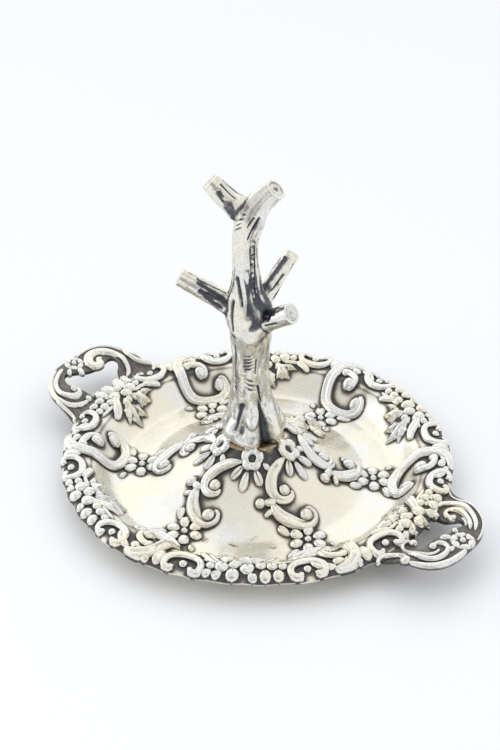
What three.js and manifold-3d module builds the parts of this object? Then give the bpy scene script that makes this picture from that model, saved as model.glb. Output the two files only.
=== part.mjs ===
// Ring tree: a silver dish with a cast tree at its centre that rings are hung on.
// All lengths are in millimetres, +Z is up and the dish rests on z = 0.
// +X runs along the two handles, towards the right one.
import * as THREE from 'three';
import { mergeVertices } from 'three/addons/utils/BufferGeometryUtils.js';
import Module from 'manifold-3d';

const wasm = await Module();
wasm.setup();

// Fits
const seatGap = 0.3;
const cutOverrun = 4;

// Dish: one struck sheet with a central boss, a flat annular well, a wall and a border
const sheet = 1.4;
const rimRadius = 46;
const scallopDepth = 0.45;
const bossRadius = 7.4;
const bossHeight = 12.5;
const borderWidth = 6.5;
const wallRun = 8;
const restWidth = 5.5;
const borderHeight = 7.1;
const borderCrown = 0.5;
const arms = 6;
const dishSides = 54;

// Relief struck up from the sheet
const scrollWidth = 2.7;
const scrollHeight = 1.3;
const crescentWidth = 2.3;
const crescentHeight = 1.15;
const voluteRadius = 1.45;
const flowerRadius = 4.6;
const flowerHeight = 1.1;
const curlWidth = 1.8;
const petalWidth = 2.1;
const petalHeight = 1.05;
const leafWidth = 3.4;
const leafHeight = 0.9;
const daisyRadius = 2.2;
const reliefRoot = 0.7;

// Handles: pierced castings soldered to the rim
const handleReach = 12.4;
const handleRise = 3.2;
const strandWidth = 2.6;
const strandHeight = 2.4;
const strandSides = 6;
const leftHandleShift = 2.4;
const rosetteRadius = 3;
const rosetteHeight = 1.7;
const tongueWidth = 2.4;
const tongueThickness = 1.1;
const tongueLap = 3.2;

// Tree: a cast trunk whose top bends into the right-hand limb
const treeX = -0.7;
const treeY = -0.5;
const solderThickness = 0.4;
const solderRadius = 7.1;
const footRadius = 6.9;
const trunkHeight = 61.5;
const limbLean = 5.9;
const limbAzimuth = 46;
const trunkSides = 16;
const barkLobes = 5;

// Branches
const branchLength = 17;
const branchRadius = 2.1;
const branchSides = 12;

// Pegs that hold the branches in the trunk, from this far off the trunk's axis
const pegRadius = 0.9;
const pegStart = 1.1;
const recessDepth = 0.35;

// Fixing under the boss
const studRadius = 1.5;
const studInTrunk = 9;
const studTail = 0.9;
const washerRadius = 4.2;
const washerThickness = 0.8;
const nutWidth = 5.5;
const nutHeight = 2.4;
const fastenerSides = 24;

const silver = { color: 0xdedbd0, metalness: 1, roughness: 0.24 };
const solder = { color: 0x9a8a66, metalness: 0.8, roughness: 0.5 };
const steel = { color: 0x9a9c9f, metalness: 1, roughness: 0.4 };

const borderInner = rimRadius - borderWidth;
const restOuter = borderInner - wallRun;
const restInner = restOuter - restWidth;
const foot = bossHeight + solderThickness;
const boreRadius = studRadius + seatGap;
const underBorder = borderHeight - sheet;

function mix(a, b, t) {
  return a + (b - a) * t;
}

function smooth(t) {
  const s = Math.min(1, Math.max(0, t));
  return s * s * (3 - 2 * s);
}

// Closed body through rings of points, each anticlockwise seen from the end, with a fan at each end
function loft(rings) {
  const count = rings[0].length;
  const position = [];
  const index = [];
  const middle = (ring) => ring
    .reduce((sum, point) => sum.add(point), new THREE.Vector3())
    .divideScalar(count);
  for (const ring of rings) {
    for (const point of ring) position.push(...point.toArray());
  }
  for (let row = 0; row + 1 < rings.length; row += 1) {
    for (let side = 0; side < count; side += 1) {
      const next = (side + 1) % count;
      const low = row * count;
      const high = low + count;
      index.push(low + side, low + next, high + next);
      index.push(low + side, high + next, high + side);
    }
  }
  const start = rings.length * count;
  const last = start - count;
  position.push(...middle(rings[0]).toArray());
  position.push(...middle(rings[rings.length - 1]).toArray());
  for (let side = 0; side < count; side += 1) {
    const next = (side + 1) % count;
    index.push(start, next, side);
    index.push(start + 1, last + side, last + next);
  }
  const geometry = new THREE.BufferGeometry();
  geometry.setAttribute('position', new THREE.Float32BufferAttribute(position, 3));
  geometry.setIndex(index);
  return geometry;
}

// Boolean solid from a closed three.js geometry
function solidOf(geometry) {
  const bare = geometry.clone();
  bare.deleteAttribute('normal');
  bare.deleteAttribute('uv');
  const merged = mergeVertices(bare);
  return new wasm.Manifold(new wasm.Mesh({
    numProp: 3,
    vertProperties: new Float32Array(merged.attributes.position.array),
    triVerts: new Uint32Array(merged.index.array),
  }));
}

function geometryOf(solid) {
  const { vertProperties, triVerts } = solid.getMesh();
  const geometry = new THREE.BufferGeometry();
  geometry.setAttribute('position', new THREE.Float32BufferAttribute(vertProperties, 3));
  geometry.setIndex(Array.from(triVerts));
  return geometry;
}

function union(solids) {
  return solids.reduce((whole, solid) => whole.add(solid));
}

// Upright cylinder from one height to another
function post(radius, low, high, sides = fastenerSides) {
  const geometry = new THREE.CylinderGeometry(radius, radius, high - low, sides);
  geometry.rotateX(Math.PI / 2);
  geometry.translate(0, 0, (low + high) / 2);
  return geometry;
}

// Outline of the border: a circle that swells a little over each of the six arms
function rimAt(angle) {
  return rimRadius - scallopDepth * (1 - Math.cos(arms * (angle - Math.PI / arms))) / 2;
}

// Height of the dish's upper face: cone, flat well, wall and crowned border
const coneFallShare = 1.28;
const wallEaseShare = 1.3;
function faceHeight(radius) {
  if (radius <= bossRadius) return bossHeight;
  if (radius < restInner) {
    const run = (radius - bossRadius) / (restInner - bossRadius);
    return sheet + (bossHeight - sheet) * (1 - run) ** coneFallShare;
  }
  if (radius <= restOuter) return sheet;
  if (radius < borderInner) {
    const run = (radius - restOuter) / (borderInner - restOuter);
    return mix(sheet, borderHeight, smooth(run ** wallEaseShare));
  }
  const run = Math.min(1, (radius - borderInner) / (rimRadius - borderInner));
  return borderHeight + borderCrown * Math.sin(Math.PI * run);
}

// Points round the dish at one radius, dropped from the upper face; the border follows the outline
function dishRing(radius, drop) {
  const ring = [];
  for (let side = 0; side < dishSides; side += 1) {
    const angle = side * 2 * Math.PI / dishSides;
    const border = smooth((radius - borderInner) / (rimRadius - borderInner));
    const reach = radius * mix(1, rimAt(angle) / rimRadius, border);
    ring.push(new THREE.Vector3(
      reach * Math.cos(angle),
      reach * Math.sin(angle),
      faceHeight(radius) - drop,
    ));
  }
  return ring;
}

function between(low, high, steps) {
  return Array.from({ length: steps }, (_, step) => mix(low, high, step / steps));
}

// The face has more rings on the cone and the border than the back
function dishRadii(coneSteps, borderSteps) {
  return [
    ...between(bossRadius, restInner, coneSteps),
    restInner,
    restOuter,
    ...between(restOuter, borderInner, 4).slice(1),
    ...between(borderInner, rimRadius, borderSteps),
    rimRadius,
  ];
}

function dishShell() {
  const lower = dishRadii(3, 1).map((radius) => dishRing(radius, sheet));
  const upper = dishRadii(6, 2).map((radius) => dishRing(radius, 0)).reverse();
  return solidOf(loft([...lower, ...upper]));
}

// Place on an arm: x to its clockwise side and y outwards, as shares of the rim's radius
function onArm(arm, [x, y]) {
  const angle = (arm + 0.5) * 2 * Math.PI / arms;
  return new THREE.Vector2(
    rimRadius * (y * Math.cos(angle) + x * Math.sin(angle)),
    rimRadius * (y * Math.sin(angle) - x * Math.cos(angle)),
  );
}

// Point of the relief: a place in plan, raised from the dish's upper face there
function draped(x, y, rise) {
  return new THREE.Vector3(x, y, faceHeight(Math.hypot(x, y)) + rise);
}

// Arched bead that follows a path over the dish and tapers to its ends
const archShares = [[1, -1], [0.85, 0.5], [0, 1], [-0.85, 0.5], [-1, -1]];
const lowArchShares = [[1, -1], [0.55, 0.9], [-0.55, 0.9], [-1, -1]];
const beadTaperShare = 0.45;
function bead(points, width, height, steps, arch = archShares) {
  const path = new THREE.SplineCurve(points);
  const rings = [];
  for (let step = 0; step <= steps; step += 1) {
    const share = step / steps;
    const at = path.getPoint(share);
    const along = path.getTangent(share);
    const swell = mix(beadTaperShare, 1, Math.sin(Math.PI * share));
    rings.push(arch.map(([across, up]) => draped(
      at.x - along.y * across * width * swell / 2,
      at.y + along.x * across * width * swell / 2,
      up < 0 ? -reliefRoot : up * height * swell,
    )));
  }
  return solidOf(loft(rings));
}

// Low cap on the dish whose outline has one lobe for each petal, or none
const petalShare = 0.16;
const capShares = [[1, 0.1], [0.8, 0.7], [0.35, 1]];
function cap(at, radius, height, petals = 0, perPetal = 3) {
  const sides = petals ? petals * perPetal : 8;
  const ringAt = (reach, rise) => Array.from({ length: sides }, (_, side) => {
    const angle = side * 2 * Math.PI / sides;
    const lobe = petals ? petalShare * (Math.cos(petals * angle) - 1) : 0;
    const far = reach * radius * (1 + lobe);
    return draped(at.x + far * Math.cos(angle), at.y + far * Math.sin(angle), rise);
  });
  return solidOf(loft([
    ringAt(1, -reliefRoot),
    ...capShares.map(([reach, rise]) => ringAt(reach, rise * height)),
  ]));
}

// Shapes of one arm, as shares of the rim's radius
const scrollShares = [
  [0.02, 0.965], [-0.055, 0.95], [-0.088, 0.9], [-0.09, 0.82],
  [-0.06, 0.735], [0.015, 0.7], [0.085, 0.71], [0.128, 0.75],
];
const scrollEndShare = [0.115, 0.768];
const scrollEyeShare = [0.022, 0.835];
const lowerCrescentShares = [
  [0.076, 0.36], [0.087, 0.4], [0.07, 0.45], [0.02, 0.5], [-0.033, 0.512], [-0.082, 0.485],
];
const lowerEyeShare = [-0.05, 0.457];
const upperCrescentShares = [[-0.033, 0.217], [0.022, 0.25], [0.055, 0.293], [0.072, 0.34]];
const flowerShare = 0.591;

function armRelief(arm) {
  const place = (share) => onArm(arm, share);
  return [
    bead(scrollShares.map(place), scrollWidth, scrollHeight, 10),
    cap(place(scrollEndShare), voluteRadius, voluteRadius),
    cap(place(scrollEyeShare), voluteRadius, voluteRadius),
    bead(lowerCrescentShares.map(place), crescentWidth, crescentHeight, 7),
    cap(place(lowerEyeShare), voluteRadius, voluteRadius),
    bead(upperCrescentShares.map(place), crescentWidth, crescentHeight, 5),
    cap(place([0, flowerShare]), flowerRadius, flowerHeight, arms),
  ];
}

// Shapes between two arms: degrees clockwise of the gap's middle, then a share of the rim's radius
const curlShares = [
  [
    [-22.6, 0.955], [-25, 0.962], [-25.4, 0.925], [-23.3, 0.893], [-20.5, 0.885],
    [-17.5, 0.897], [-15.9, 0.93], [-16.6, 0.965], [-18.6, 0.96],
  ],
  [
    [12, 0.952], [9.6, 0.965], [9.2, 0.93], [10.7, 0.9], [13.6, 0.885],
    [17, 0.892], [19.2, 0.925], [18.9, 0.965], [16.6, 0.957],
  ],
];
const petalShares = [
  [[-12.3, 0.9], [-12.5, 0.975]],
  [[-8.9, 0.9], [-8.8, 0.975]],
  [[-4.9, 0.873], [-3, 0.955]],
  [[0.1, 0.88], [0, 0.975]],
  [[4.2, 0.873], [2.9, 0.955]],
  [[21.5, 0.89], [21.8, 0.975]],
  [[24.5, 0.885], [24.8, 0.965]],
  [[-32, 0.95], [-28.2, 0.925]],
];
const wallLeafShares = [
  [[-1, 0.87], [1.8, 0.722]],
  [[-2, 0.857], [-9.6, 0.774]],
  [[2, 0.857], [10, 0.783]],
];

function inGap(gap, [degrees, share]) {
  const angle = gap * 2 * Math.PI / arms - THREE.MathUtils.degToRad(degrees);
  return new THREE.Vector2(Math.cos(angle), Math.sin(angle)).multiplyScalar(share * rimRadius);
}

function gapRelief(gap) {
  const path = (shares) => shares.map((share) => inGap(gap, share));
  return [
    ...curlShares.map((shares) => bead(path(shares), curlWidth, petalHeight, 6, lowArchShares)),
    ...petalShares.map((shares) => bead(path(shares), petalWidth, petalHeight, 2, lowArchShares)),
    ...wallLeafShares.map((shares) => bead(path(shares), leafWidth, leafHeight, 2, lowArchShares)),
  ];
}

function dish() {
  const relief = Array.from({ length: arms }, (_, at) => [...armRelief(at), ...gapRelief(at)]).flat();
  const hole = post(boreRadius, underBorder, bossHeight + cutOverrun);
  hole.translate(treeX, treeY, 0);
  return geometryOf(union([dishShell(), ...relief]).subtract(solidOf(hole)));
}

// Level of a handle's top, which lifts from the border to its outer end
function handleTop(radius) {
  const run = (radius - rimRadius) / (handleReach / 2);
  return borderHeight + handleRise * smooth(run);
}

// Rounded strand of a handle along a path in plan
function strand(points, steps) {
  const path = new THREE.SplineCurve(points);
  const rings = [];
  for (let step = 0; step <= steps; step += 1) {
    const share = step / steps;
    const at = path.getPoint(share);
    const along = path.getTangent(share);
    const middle = handleTop(at.length()) - strandHeight / 2;
    rings.push(Array.from({ length: strandSides }, (_, corner) => {
      const angle = (corner + 0.5) * 2 * Math.PI / strandSides;
      const across = Math.cos(angle) * strandWidth / 2;
      return new THREE.Vector3(
        at.x - along.y * across,
        at.y + along.x * across,
        middle + Math.sin(angle) * strandHeight / 2,
      );
    }));
  }
  return solidOf(loft(rings));
}

// Handle outlines: x as a share of the reach beyond the rim, y as a share of the reach
const outerLoopShares = [
  [-0.25, 0.66], [0.06, 0.8], [0.35, 0.77], [0.63, 0.6], [0.82, 0.28],
  [0.88, -0.1], [0.88, -0.55], [0.74, -0.87], [0.42, -1.02], [0.05, -0.86], [-0.22, -0.72],
];
const upperScrollShares = [[-0.08, 0.4], [-0.02, 0.62], [0.2, 0.66], [0.3, 0.5]];
const lowerScrollShares = [[0.06, -0.42], [0, -0.66], [0.22, -0.86], [0.46, -0.8], [0.56, -0.5]];
const hookShares = [[-0.2, -1.34], [-0.1, -1.06], [0.08, -0.96], [0.24, -1.08], [0.36, -1.24]];
const rosetteShare = [0.76, -0.07];
const tongueShares = [0.72, -0.8];

function handle(shift) {
  const place = ([x, y]) => new THREE.Vector2(
    rimRadius + shift + x * handleReach,
    y * handleReach,
  );
  // A shifted handle's roots keep their starting points inside the rim
  const rooted = (shares) => {
    const points = shares.map(place);
    points[0].x -= shift;
    points[points.length - 1].x -= shift;
    return points;
  };
  const centre = place(rosetteShare);
  const crown = handleTop(centre.length()) - strandHeight / 2;
  const rosette = post(rosetteRadius, crown - strandHeight / 4, crown + rosetteHeight, 10);
  rosette.translate(centre.x, centre.y, 0);
  const tongueTop = underBorder - seatGap;
  const tongues = tongueShares.map((share) => {
    const inner = rimRadius - tongueLap;
    const outer = rimRadius + shift + strandWidth;
    const block = new THREE.BoxGeometry(outer - inner, tongueWidth, tongueThickness);
    block.translate((inner + outer) / 2, share * handleReach, tongueTop - tongueThickness / 2);
    return solidOf(block);
  });
  const reach = rimRadius + seatGap;
  const rim = loft([tongueTop, borderHeight + borderCrown + cutOverrun].map((level) => (
    Array.from({ length: dishSides }, (_, side) => {
      const angle = side * 2 * Math.PI / dishSides;
      return new THREE.Vector3(reach * Math.cos(angle), reach * Math.sin(angle), level);
    })
  )));
  const body = union([
    strand(rooted(outerLoopShares), 26),
    strand(upperScrollShares.map(place), 8),
    strand(lowerScrollShares.map(place), 10),
    strand(rooted(hookShares), 9),
    solidOf(rosette),
    ...tongues,
  ]);
  return body.subtract(solidOf(rim));
}

// Limb through stations of place, radius and lobe depth, grown by a gap where another piece meets it
function limb(places, radii, lobes, sides, steps, grow = 0) {
  const path = new THREE.CatmullRomCurve3(places);
  const girth = new THREE.CatmullRomCurve3(
    radii.map((radius, at) => new THREE.Vector3(radius, lobes[at], 0)),
  );
  const normal = new THREE.Vector3(1, 0, 0);
  const rings = [];
  for (let step = 0; step <= steps; step += 1) {
    const share = step / steps;
    const at = path.getPoint(share);
    const along = path.getTangent(share);
    normal.addScaledVector(along, -normal.dot(along)).normalize();
    const side = new THREE.Vector3().crossVectors(along, normal);
    const { x: radius, y: lobe } = girth.getPoint(share);
    rings.push(Array.from({ length: sides }, (_, corner) => {
      const angle = corner * 2 * Math.PI / sides;
      const reach = radius * (1 + lobe * Math.cos(barkLobes * angle + share * Math.PI)) + grow;
      return at.clone()
        .addScaledVector(normal, reach * Math.cos(angle))
        .addScaledVector(side, reach * Math.sin(angle));
    }));
  }
  return solidOf(loft(rings));
}

// Stations of the trunk: height and lean as shares of its own, girth as a share of the foot
const trunkShares = [
  { height: 0, lean: 0, girth: 0.93, lobe: 0.03 },
  { height: 0.018, lean: 0, girth: 1, lobe: 0.06 },
  { height: 0.04, lean: 0, girth: 0.98, lobe: 0.1 },
  { height: 0.075, lean: -0.01, girth: 0.88, lobe: 0.1 },
  { height: 0.12, lean: -0.05, girth: 0.78, lobe: 0.08 },
  { height: 0.18, lean: -0.085, girth: 0.67, lobe: 0.05 },
  { height: 0.28, lean: -0.095, girth: 0.59, lobe: 0.03 },
  { height: 0.38, lean: -0.095, girth: 0.61, lobe: 0.03 },
  { height: 0.45, lean: -0.1, girth: 0.68, lobe: 0.03 },
  { height: 0.52, lean: -0.16, girth: 0.66, lobe: 0.04 },
  { height: 0.58, lean: -0.24, girth: 0.53, lobe: 0.04 },
  { height: 0.64, lean: -0.28, girth: 0.445, lobe: 0.03 },
  { height: 0.76, lean: -0.3, girth: 0.39, lobe: 0.03 },
  { height: 0.83, lean: -0.27, girth: 0.42, lobe: 0.04 },
  { height: 0.89, lean: -0.1, girth: 0.43, lobe: 0.03 },
  { height: 0.95, lean: 0.32, girth: 0.37, lobe: 0.02 },
  { height: 1, lean: 0.92, girth: 0.34, lobe: 0.02 },
];

function bearing(azimuth) {
  const angle = THREE.MathUtils.degToRad(azimuth);
  return new THREE.Vector3(Math.cos(angle), Math.sin(angle), 0);
}

function trunkPlaces() {
  const lean = bearing(limbAzimuth);
  return trunkShares.map((station) => (
    new THREE.Vector3(0, 0, foot + station.height * trunkHeight)
      .addScaledVector(lean, station.lean * limbLean)
  ));
}

function trunkBody(grow = 0) {
  const radii = trunkShares.map((station) => station.girth * footRadius);
  const lobes = trunkShares.map((station) => station.lobe);
  return limb(trunkPlaces(), radii, lobes, trunkSides, 32, grow);
}

// Lean of the trunk's axis at a share of its height, straight between the stations
function leanAt(share) {
  const above = trunkShares.findIndex((station) => station.height > share);
  const [low, high] = [trunkShares[above - 1], trunkShares[above]];
  return mix(low.lean, high.lean, (share - low.height) / (high.height - low.height)) * limbLean;
}

// Branch from the trunk's axis: its start is a share of the trunk's height, the angles are in
// degrees, and its length, root and tip are shares of the branches' common length and radius
function branchLine(startShare, azimuth, rise, lengthShare, rootShare, tipShare) {
  const angle = THREE.MathUtils.degToRad(rise);
  const direction = bearing(azimuth).multiplyScalar(Math.cos(angle));
  direction.z = Math.sin(angle);
  return {
    start: new THREE.Vector3(0, 0, foot + startShare * trunkHeight)
      .addScaledVector(bearing(limbAzimuth), leanAt(startShare)),
    direction,
    length: lengthShare * branchLength,
    root: rootShare * branchRadius,
    tip: tipShare * branchRadius,
  };
}

const branches = {
  top_left_branch: branchLine(0.889, 195.3, 36.4, 0.712, 1.24, 0.98),
  mid_left_branch: branchLine(0.524, 207.8, 25.9, 1, 1.38, 0.98),
  rear_branch: branchLine(0.502, 83.8, 37.4, 1.024, 1.1, 0.88),
  front_stub: branchLine(0.472, 4.5, 29.7, 0.718, 1.33, 1.12),
};

// Round bar along a line, between two distances from its start
function bar({ start, direction }, radius, from, to) {
  const geometry = new THREE.CylinderGeometry(radius, radius, to - from, branchSides);
  geometry.applyQuaternion(
    new THREE.Quaternion().setFromUnitVectors(new THREE.Vector3(0, 1, 0), direction),
  );
  geometry.translate(...start.clone().addScaledVector(direction, (from + to) / 2).toArray());
  return solidOf(geometry);
}

// Shallow turned recess in a cut end
const recessShare = 0.5;
function endRecess(line) {
  return bar(line, recessShare * line.tip, line.length - recessDepth, line.length + cutOverrun);
}

const stationShares = [0, 0.3, 0.6, 0.85, 1];
const swellShares = [1, 0.72, 0.35, 0.1, 0];
const branchLobeShare = 0.03;
function branchSolid(branch) {
  const places = stationShares.map((share) => branch.start.clone()
    .addScaledVector(branch.direction, share * branch.length));
  const radii = swellShares.map((swell) => mix(branch.tip, branch.root, swell));
  const lobes = stationShares.map(() => branchLobeShare);
  const peg = bar(branch, pegRadius, pegStart, branch.length / 2);
  return limb(places, radii, lobes, branchSides, 7)
    .subtract(trunkBody(seatGap))
    .decompose()
    .reduce((best, piece) => (piece.volume() > best.volume() ? piece : best))
    .add(peg)
    .subtract(endRecess(branch));
}

function trunk() {
  const sockets = Object.values(branches).map((branch) => (
    bar(branch, pegRadius + seatGap, pegStart - seatGap, branch.length)
  ));
  const places = trunkPlaces();
  const start = places[places.length - 2];
  const direction = places[places.length - 1].clone().sub(start);
  const length = direction.length();
  const tip = trunkShares[trunkShares.length - 1].girth * footRadius;
  const recess = endRecess({ start, direction: direction.normalize(), length, tip });
  const bore = solidOf(post(boreRadius, foot - cutOverrun, foot + studInTrunk + seatGap));
  return trunkBody().subtract(union([...sockets, recess, bore]));
}

// Ring of solder in the corner between the roots and the boss
function solderRing() {
  const inner = boreRadius;
  const points = [
    new THREE.Vector2(inner, 0),
    new THREE.Vector2(solderRadius, 0),
    new THREE.Vector2(solderRadius - solderThickness, solderThickness),
    new THREE.Vector2(inner, solderThickness),
    new THREE.Vector2(inner, 0),
  ];
  const geometry = new THREE.LatheGeometry(points, fastenerSides);
  geometry.rotateX(Math.PI / 2);
  geometry.translate(0, 0, bossHeight);
  return geometryOf(solidOf(geometry));
}

function stud() {
  const low = bossHeight - sheet - washerThickness - nutHeight - studTail;
  const high = foot + studInTrunk;
  return post(studRadius, low, high);
}

function washer() {
  const top = bossHeight - sheet;
  const disc = solidOf(post(washerRadius, top - washerThickness, top));
  return geometryOf(disc.subtract(solidOf(post(boreRadius, top - cutOverrun, top + cutOverrun))));
}

function nut() {
  const top = bossHeight - sheet - washerThickness;
  const hexagon = solidOf(post(nutWidth / Math.sqrt(3), top - nutHeight, top, 6));
  const bore = solidOf(post(studRadius + seatGap, top - cutOverrun, top + cutOverrun));
  return geometryOf(hexagon.subtract(bore));
}

function part(name, geometry, finish) {
  const mesh = new THREE.Mesh(geometry, new THREE.MeshStandardMaterial(finish));
  mesh.name = name;
  return mesh;
}

// The longer left handle puts the middle of the whole piece to the left of the dish's centre
const ringTree = new THREE.Group();
ringTree.position.x = leftHandleShift / 2;
ringTree.add(part('dish', dish(), silver));
ringTree.add(part('right_handle', geometryOf(handle(0)), silver));
const leftHandle = part('left_handle', geometryOf(handle(leftHandleShift)), silver);
leftHandle.rotation.z = Math.PI;
ringTree.add(leftHandle);

const tree = new THREE.Group();
tree.position.set(treeX, treeY, 0);
tree.add(part('trunk', geometryOf(trunk()), silver));
for (const [name, branch] of Object.entries(branches)) {
  tree.add(part(name, geometryOf(branchSolid(branch)), silver));
}
tree.add(part('solder_ring', solderRing(), solder));
tree.add(part('stud', stud(), steel));
tree.add(part('washer', washer(), steel));
tree.add(part('nut', nut(), steel));
ringTree.add(tree);

export default ringTree;
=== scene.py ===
"""Ring tree: a struck silver dish with two pierced handles, and a cast tree for rings at its centre.

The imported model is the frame. Plan sizes are millimetres from the dish's centre, with x along the
handles; they become metres in the frame as each mesh is made.
"""

import bpy
import numpy as np
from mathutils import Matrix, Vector


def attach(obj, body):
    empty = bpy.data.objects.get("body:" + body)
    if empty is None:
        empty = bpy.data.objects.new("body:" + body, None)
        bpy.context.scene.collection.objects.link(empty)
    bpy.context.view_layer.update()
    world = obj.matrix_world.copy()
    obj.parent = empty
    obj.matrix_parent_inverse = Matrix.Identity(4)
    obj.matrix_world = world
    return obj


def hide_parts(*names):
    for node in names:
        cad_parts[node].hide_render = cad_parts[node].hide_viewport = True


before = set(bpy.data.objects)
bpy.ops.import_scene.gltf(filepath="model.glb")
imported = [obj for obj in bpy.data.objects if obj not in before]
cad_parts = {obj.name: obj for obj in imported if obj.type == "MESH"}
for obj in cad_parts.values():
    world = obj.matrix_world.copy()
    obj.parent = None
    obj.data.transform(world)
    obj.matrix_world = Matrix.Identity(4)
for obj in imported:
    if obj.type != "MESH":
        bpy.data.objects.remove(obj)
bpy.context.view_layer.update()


# Camera: the photographer stands off the dish's front right and looks down by about a third of a
# right angle. The longer left handle puts the dish's centre right of the middle of the frame.
METRES = 0.001
DISH_CENTRE = np.array([1.2, 0.0, 0.0])
CAMERA_PLACE = (146.6, -198.5, 185.3)
CAMERA_LOOKS = Vector((-0.506, 0.676, -0.536))
FOCAL_PIXELS = 1295.9
FRAME_HEIGHT = 750
SENSOR = 36
NEAREST_SEEN = 0.01


def in_frame(points):
    """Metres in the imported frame: the dish's centre plus the millimetres from it, times 0.001."""
    return (np.asarray(points, float) + DISH_CENTRE) * METRES


def set_out(name, data):
    """New object on the data, linked to the scene."""
    made = bpy.data.objects.new(name, data)
    bpy.context.scene.collection.objects.link(made)
    return made


camera_data = bpy.data.cameras.new("camera")
camera_data.sensor_width = SENSOR
camera_data.lens = FOCAL_PIXELS * SENSOR / FRAME_HEIGHT
camera_data.clip_start = NEAREST_SEEN
camera = set_out("camera", camera_data)
camera.location = in_frame(CAMERA_PLACE)
camera.rotation_euler = CAMERA_LOOKS.to_track_quat("-Z", "Y").to_euler()
bpy.context.scene.camera = camera


# Studio: a white light tent over a white table. The eye sees the tent plain white. The silver sees
# a bright backdrop and roof, a duller near side and the grey opening where the photographer is;
# the table is lit by a softer sky and by one lamp that the silver doesn't show.
class Signal:
    """One output of a node graph; arithmetic on it adds the Math node that works it out."""

    def __init__(self, graph, socket):
        self.graph = graph
        self.socket = socket

    def _math(self, operation, *terms):
        return self.graph.node("ShaderNodeMath", {"operation": operation}, dict(enumerate(terms)))

    def __add__(self, other):
        return self._math("ADD", self, other)

    __radd__ = __add__

    def __sub__(self, other):
        return self._math("SUBTRACT", self, other)

    def __rsub__(self, other):
        return self._math("SUBTRACT", other, self)

    def __mul__(self, other):
        return self._math("MULTIPLY", self, other)

    def most(self, other):
        """The greater of the two."""
        return self._math("MAXIMUM", self, other)

    def between(self, low, high):
        """0 below low, 1 above high and a smooth step from one to the other."""
        return self.graph.node(
            "ShaderNodeMapRange",
            {"interpolation_type": "SMOOTHSTEP"},
            {"Value": self, "From Min": low, "From Max": high},
        )


class Graph:
    """A node tree: node() adds any node, sets it up, fills its sockets and gives one output."""

    def __init__(self, tree):
        self.tree = tree
        tree.nodes.clear()

    def node(self, kind, settings=None, inputs=None, output=0):
        made = self.tree.nodes.new(kind)
        for key, value in (settings or {}).items():
            setattr(made, key, value)
        for key, value in (inputs or {}).items():
            if isinstance(value, Signal):
                self.tree.links.new(value.socket, made.inputs[key])
            else:
                made.inputs[key].default_value = value
        return Signal(self, made.outputs[output]) if made.outputs else made

    def blend(self, factor, first, second):
        """Colour between first and second."""
        settings = {"data_type": "RGBA"}
        return self.node("ShaderNodeMix", settings, {0: factor, 6: first, 7: second}, 2)

    def noise(self, place, scale, detail, roughness=0.5):
        """Cloudy pattern about 0.5 at a place, with scale clouds to the metre."""
        inputs = {"Vector": place, "Scale": scale, "Detail": detail, "Roughness": roughness}
        return self.node("ShaderNodeTexNoise", None, inputs, "Fac")

    def bump(self, height, depth, under=None):
        """Normal of a surface raised by height times depth in metres, on the normal under it."""
        inputs = {"Height": height, "Strength": 1.0, "Distance": depth}
        if under is not None:
            inputs["Normal"] = under
        return self.node("ShaderNodeBump", None, inputs)


def make_material(name, look):
    """Material whose Principled shader gets the sockets that look gives for its graph."""
    material = bpy.data.materials.new(name)
    material.use_nodes = True
    graph = Graph(material.node_tree)
    shader = graph.node("ShaderNodeBsdfPrincipled", None, look(graph))
    graph.node("ShaderNodeOutputMaterial", None, {"Surface": shader})
    return material


def rgb(red, green, blue):
    """Opaque colour."""
    return (red, green, blue, 1.0)


world = bpy.data.worlds.new("light_tent")
world.use_nodes = True
tent = Graph(world.node_tree)
direction = tent.node("ShaderNodeTexCoord", output="Generated")


def facing(x, y, z):
    """Cosine of the angle between the direction looked in and the unit direction x, y, z."""
    inputs = {0: direction, 1: (x, y, z)}
    return tent.node("ShaderNodeVectorMath", {"operation": "DOT_PRODUCT"}, inputs, "Value")


def ray_is(kind):
    """1 for a ray of that kind and 0 for any other."""
    return tent.node("ShaderNodeLightPath", output=f"Is {kind} Ray")


CLOTH_DULL = rgb(0.73, 0.73, 0.745)
CLOTH_BRIGHT = rgb(1.22, 1.22, 1.2)
CLOTH_GLARE = rgb(1.6, 1.6, 1.58)
OPENING_GREY = rgb(0.4, 0.41, 0.42)
SKY_COLOUR = rgb(1.63, 1.65, 1.7)
BLACK = rgb(0.0, 0.0, 0.0)
WHITE = rgb(1.0, 1.0, 1.0)

backdrop = facing(-0.837, 0.483, 0.259).between(0.25, 0.9)
near_side = facing(-0.354, -0.612, 0.707).between(0.6, 1.0)
glare = facing(-0.9, -0.4, 0.17).between(0.82, 0.98)
opening = facing(0.55, -0.78, 0.2).between(0.8, 1.0)
in_silver = tent.blend(backdrop * 0.52 + 0.48 - near_side * 0.36, CLOTH_DULL, CLOTH_BRIGHT)
in_silver = tent.blend(glare, in_silver, CLOTH_GLARE)
in_silver = tent.blend(opening, in_silver, OPENING_GREY)

overhead = facing(0.0, 0.0, 1.0).between(0.0, 0.9)
from_right = facing(0.75, -0.45, 0.5).between(0.2, 1.0)
sky = tent.blend(overhead * 0.66 + from_right * 0.22, BLACK, SKY_COLOUR)

tent_colour = tent.blend(ray_is("Glossy").most(ray_is("Transmission")), sky, in_silver)
tent_colour = tent.blend(ray_is("Camera"), tent_colour, WHITE)
background = tent.node("ShaderNodeBackground", None, {"Color": tent_colour, "Strength": 1.0})
tent.node("ShaderNodeOutputWorld", None, {"Surface": background})
bpy.context.scene.world = world

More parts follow.
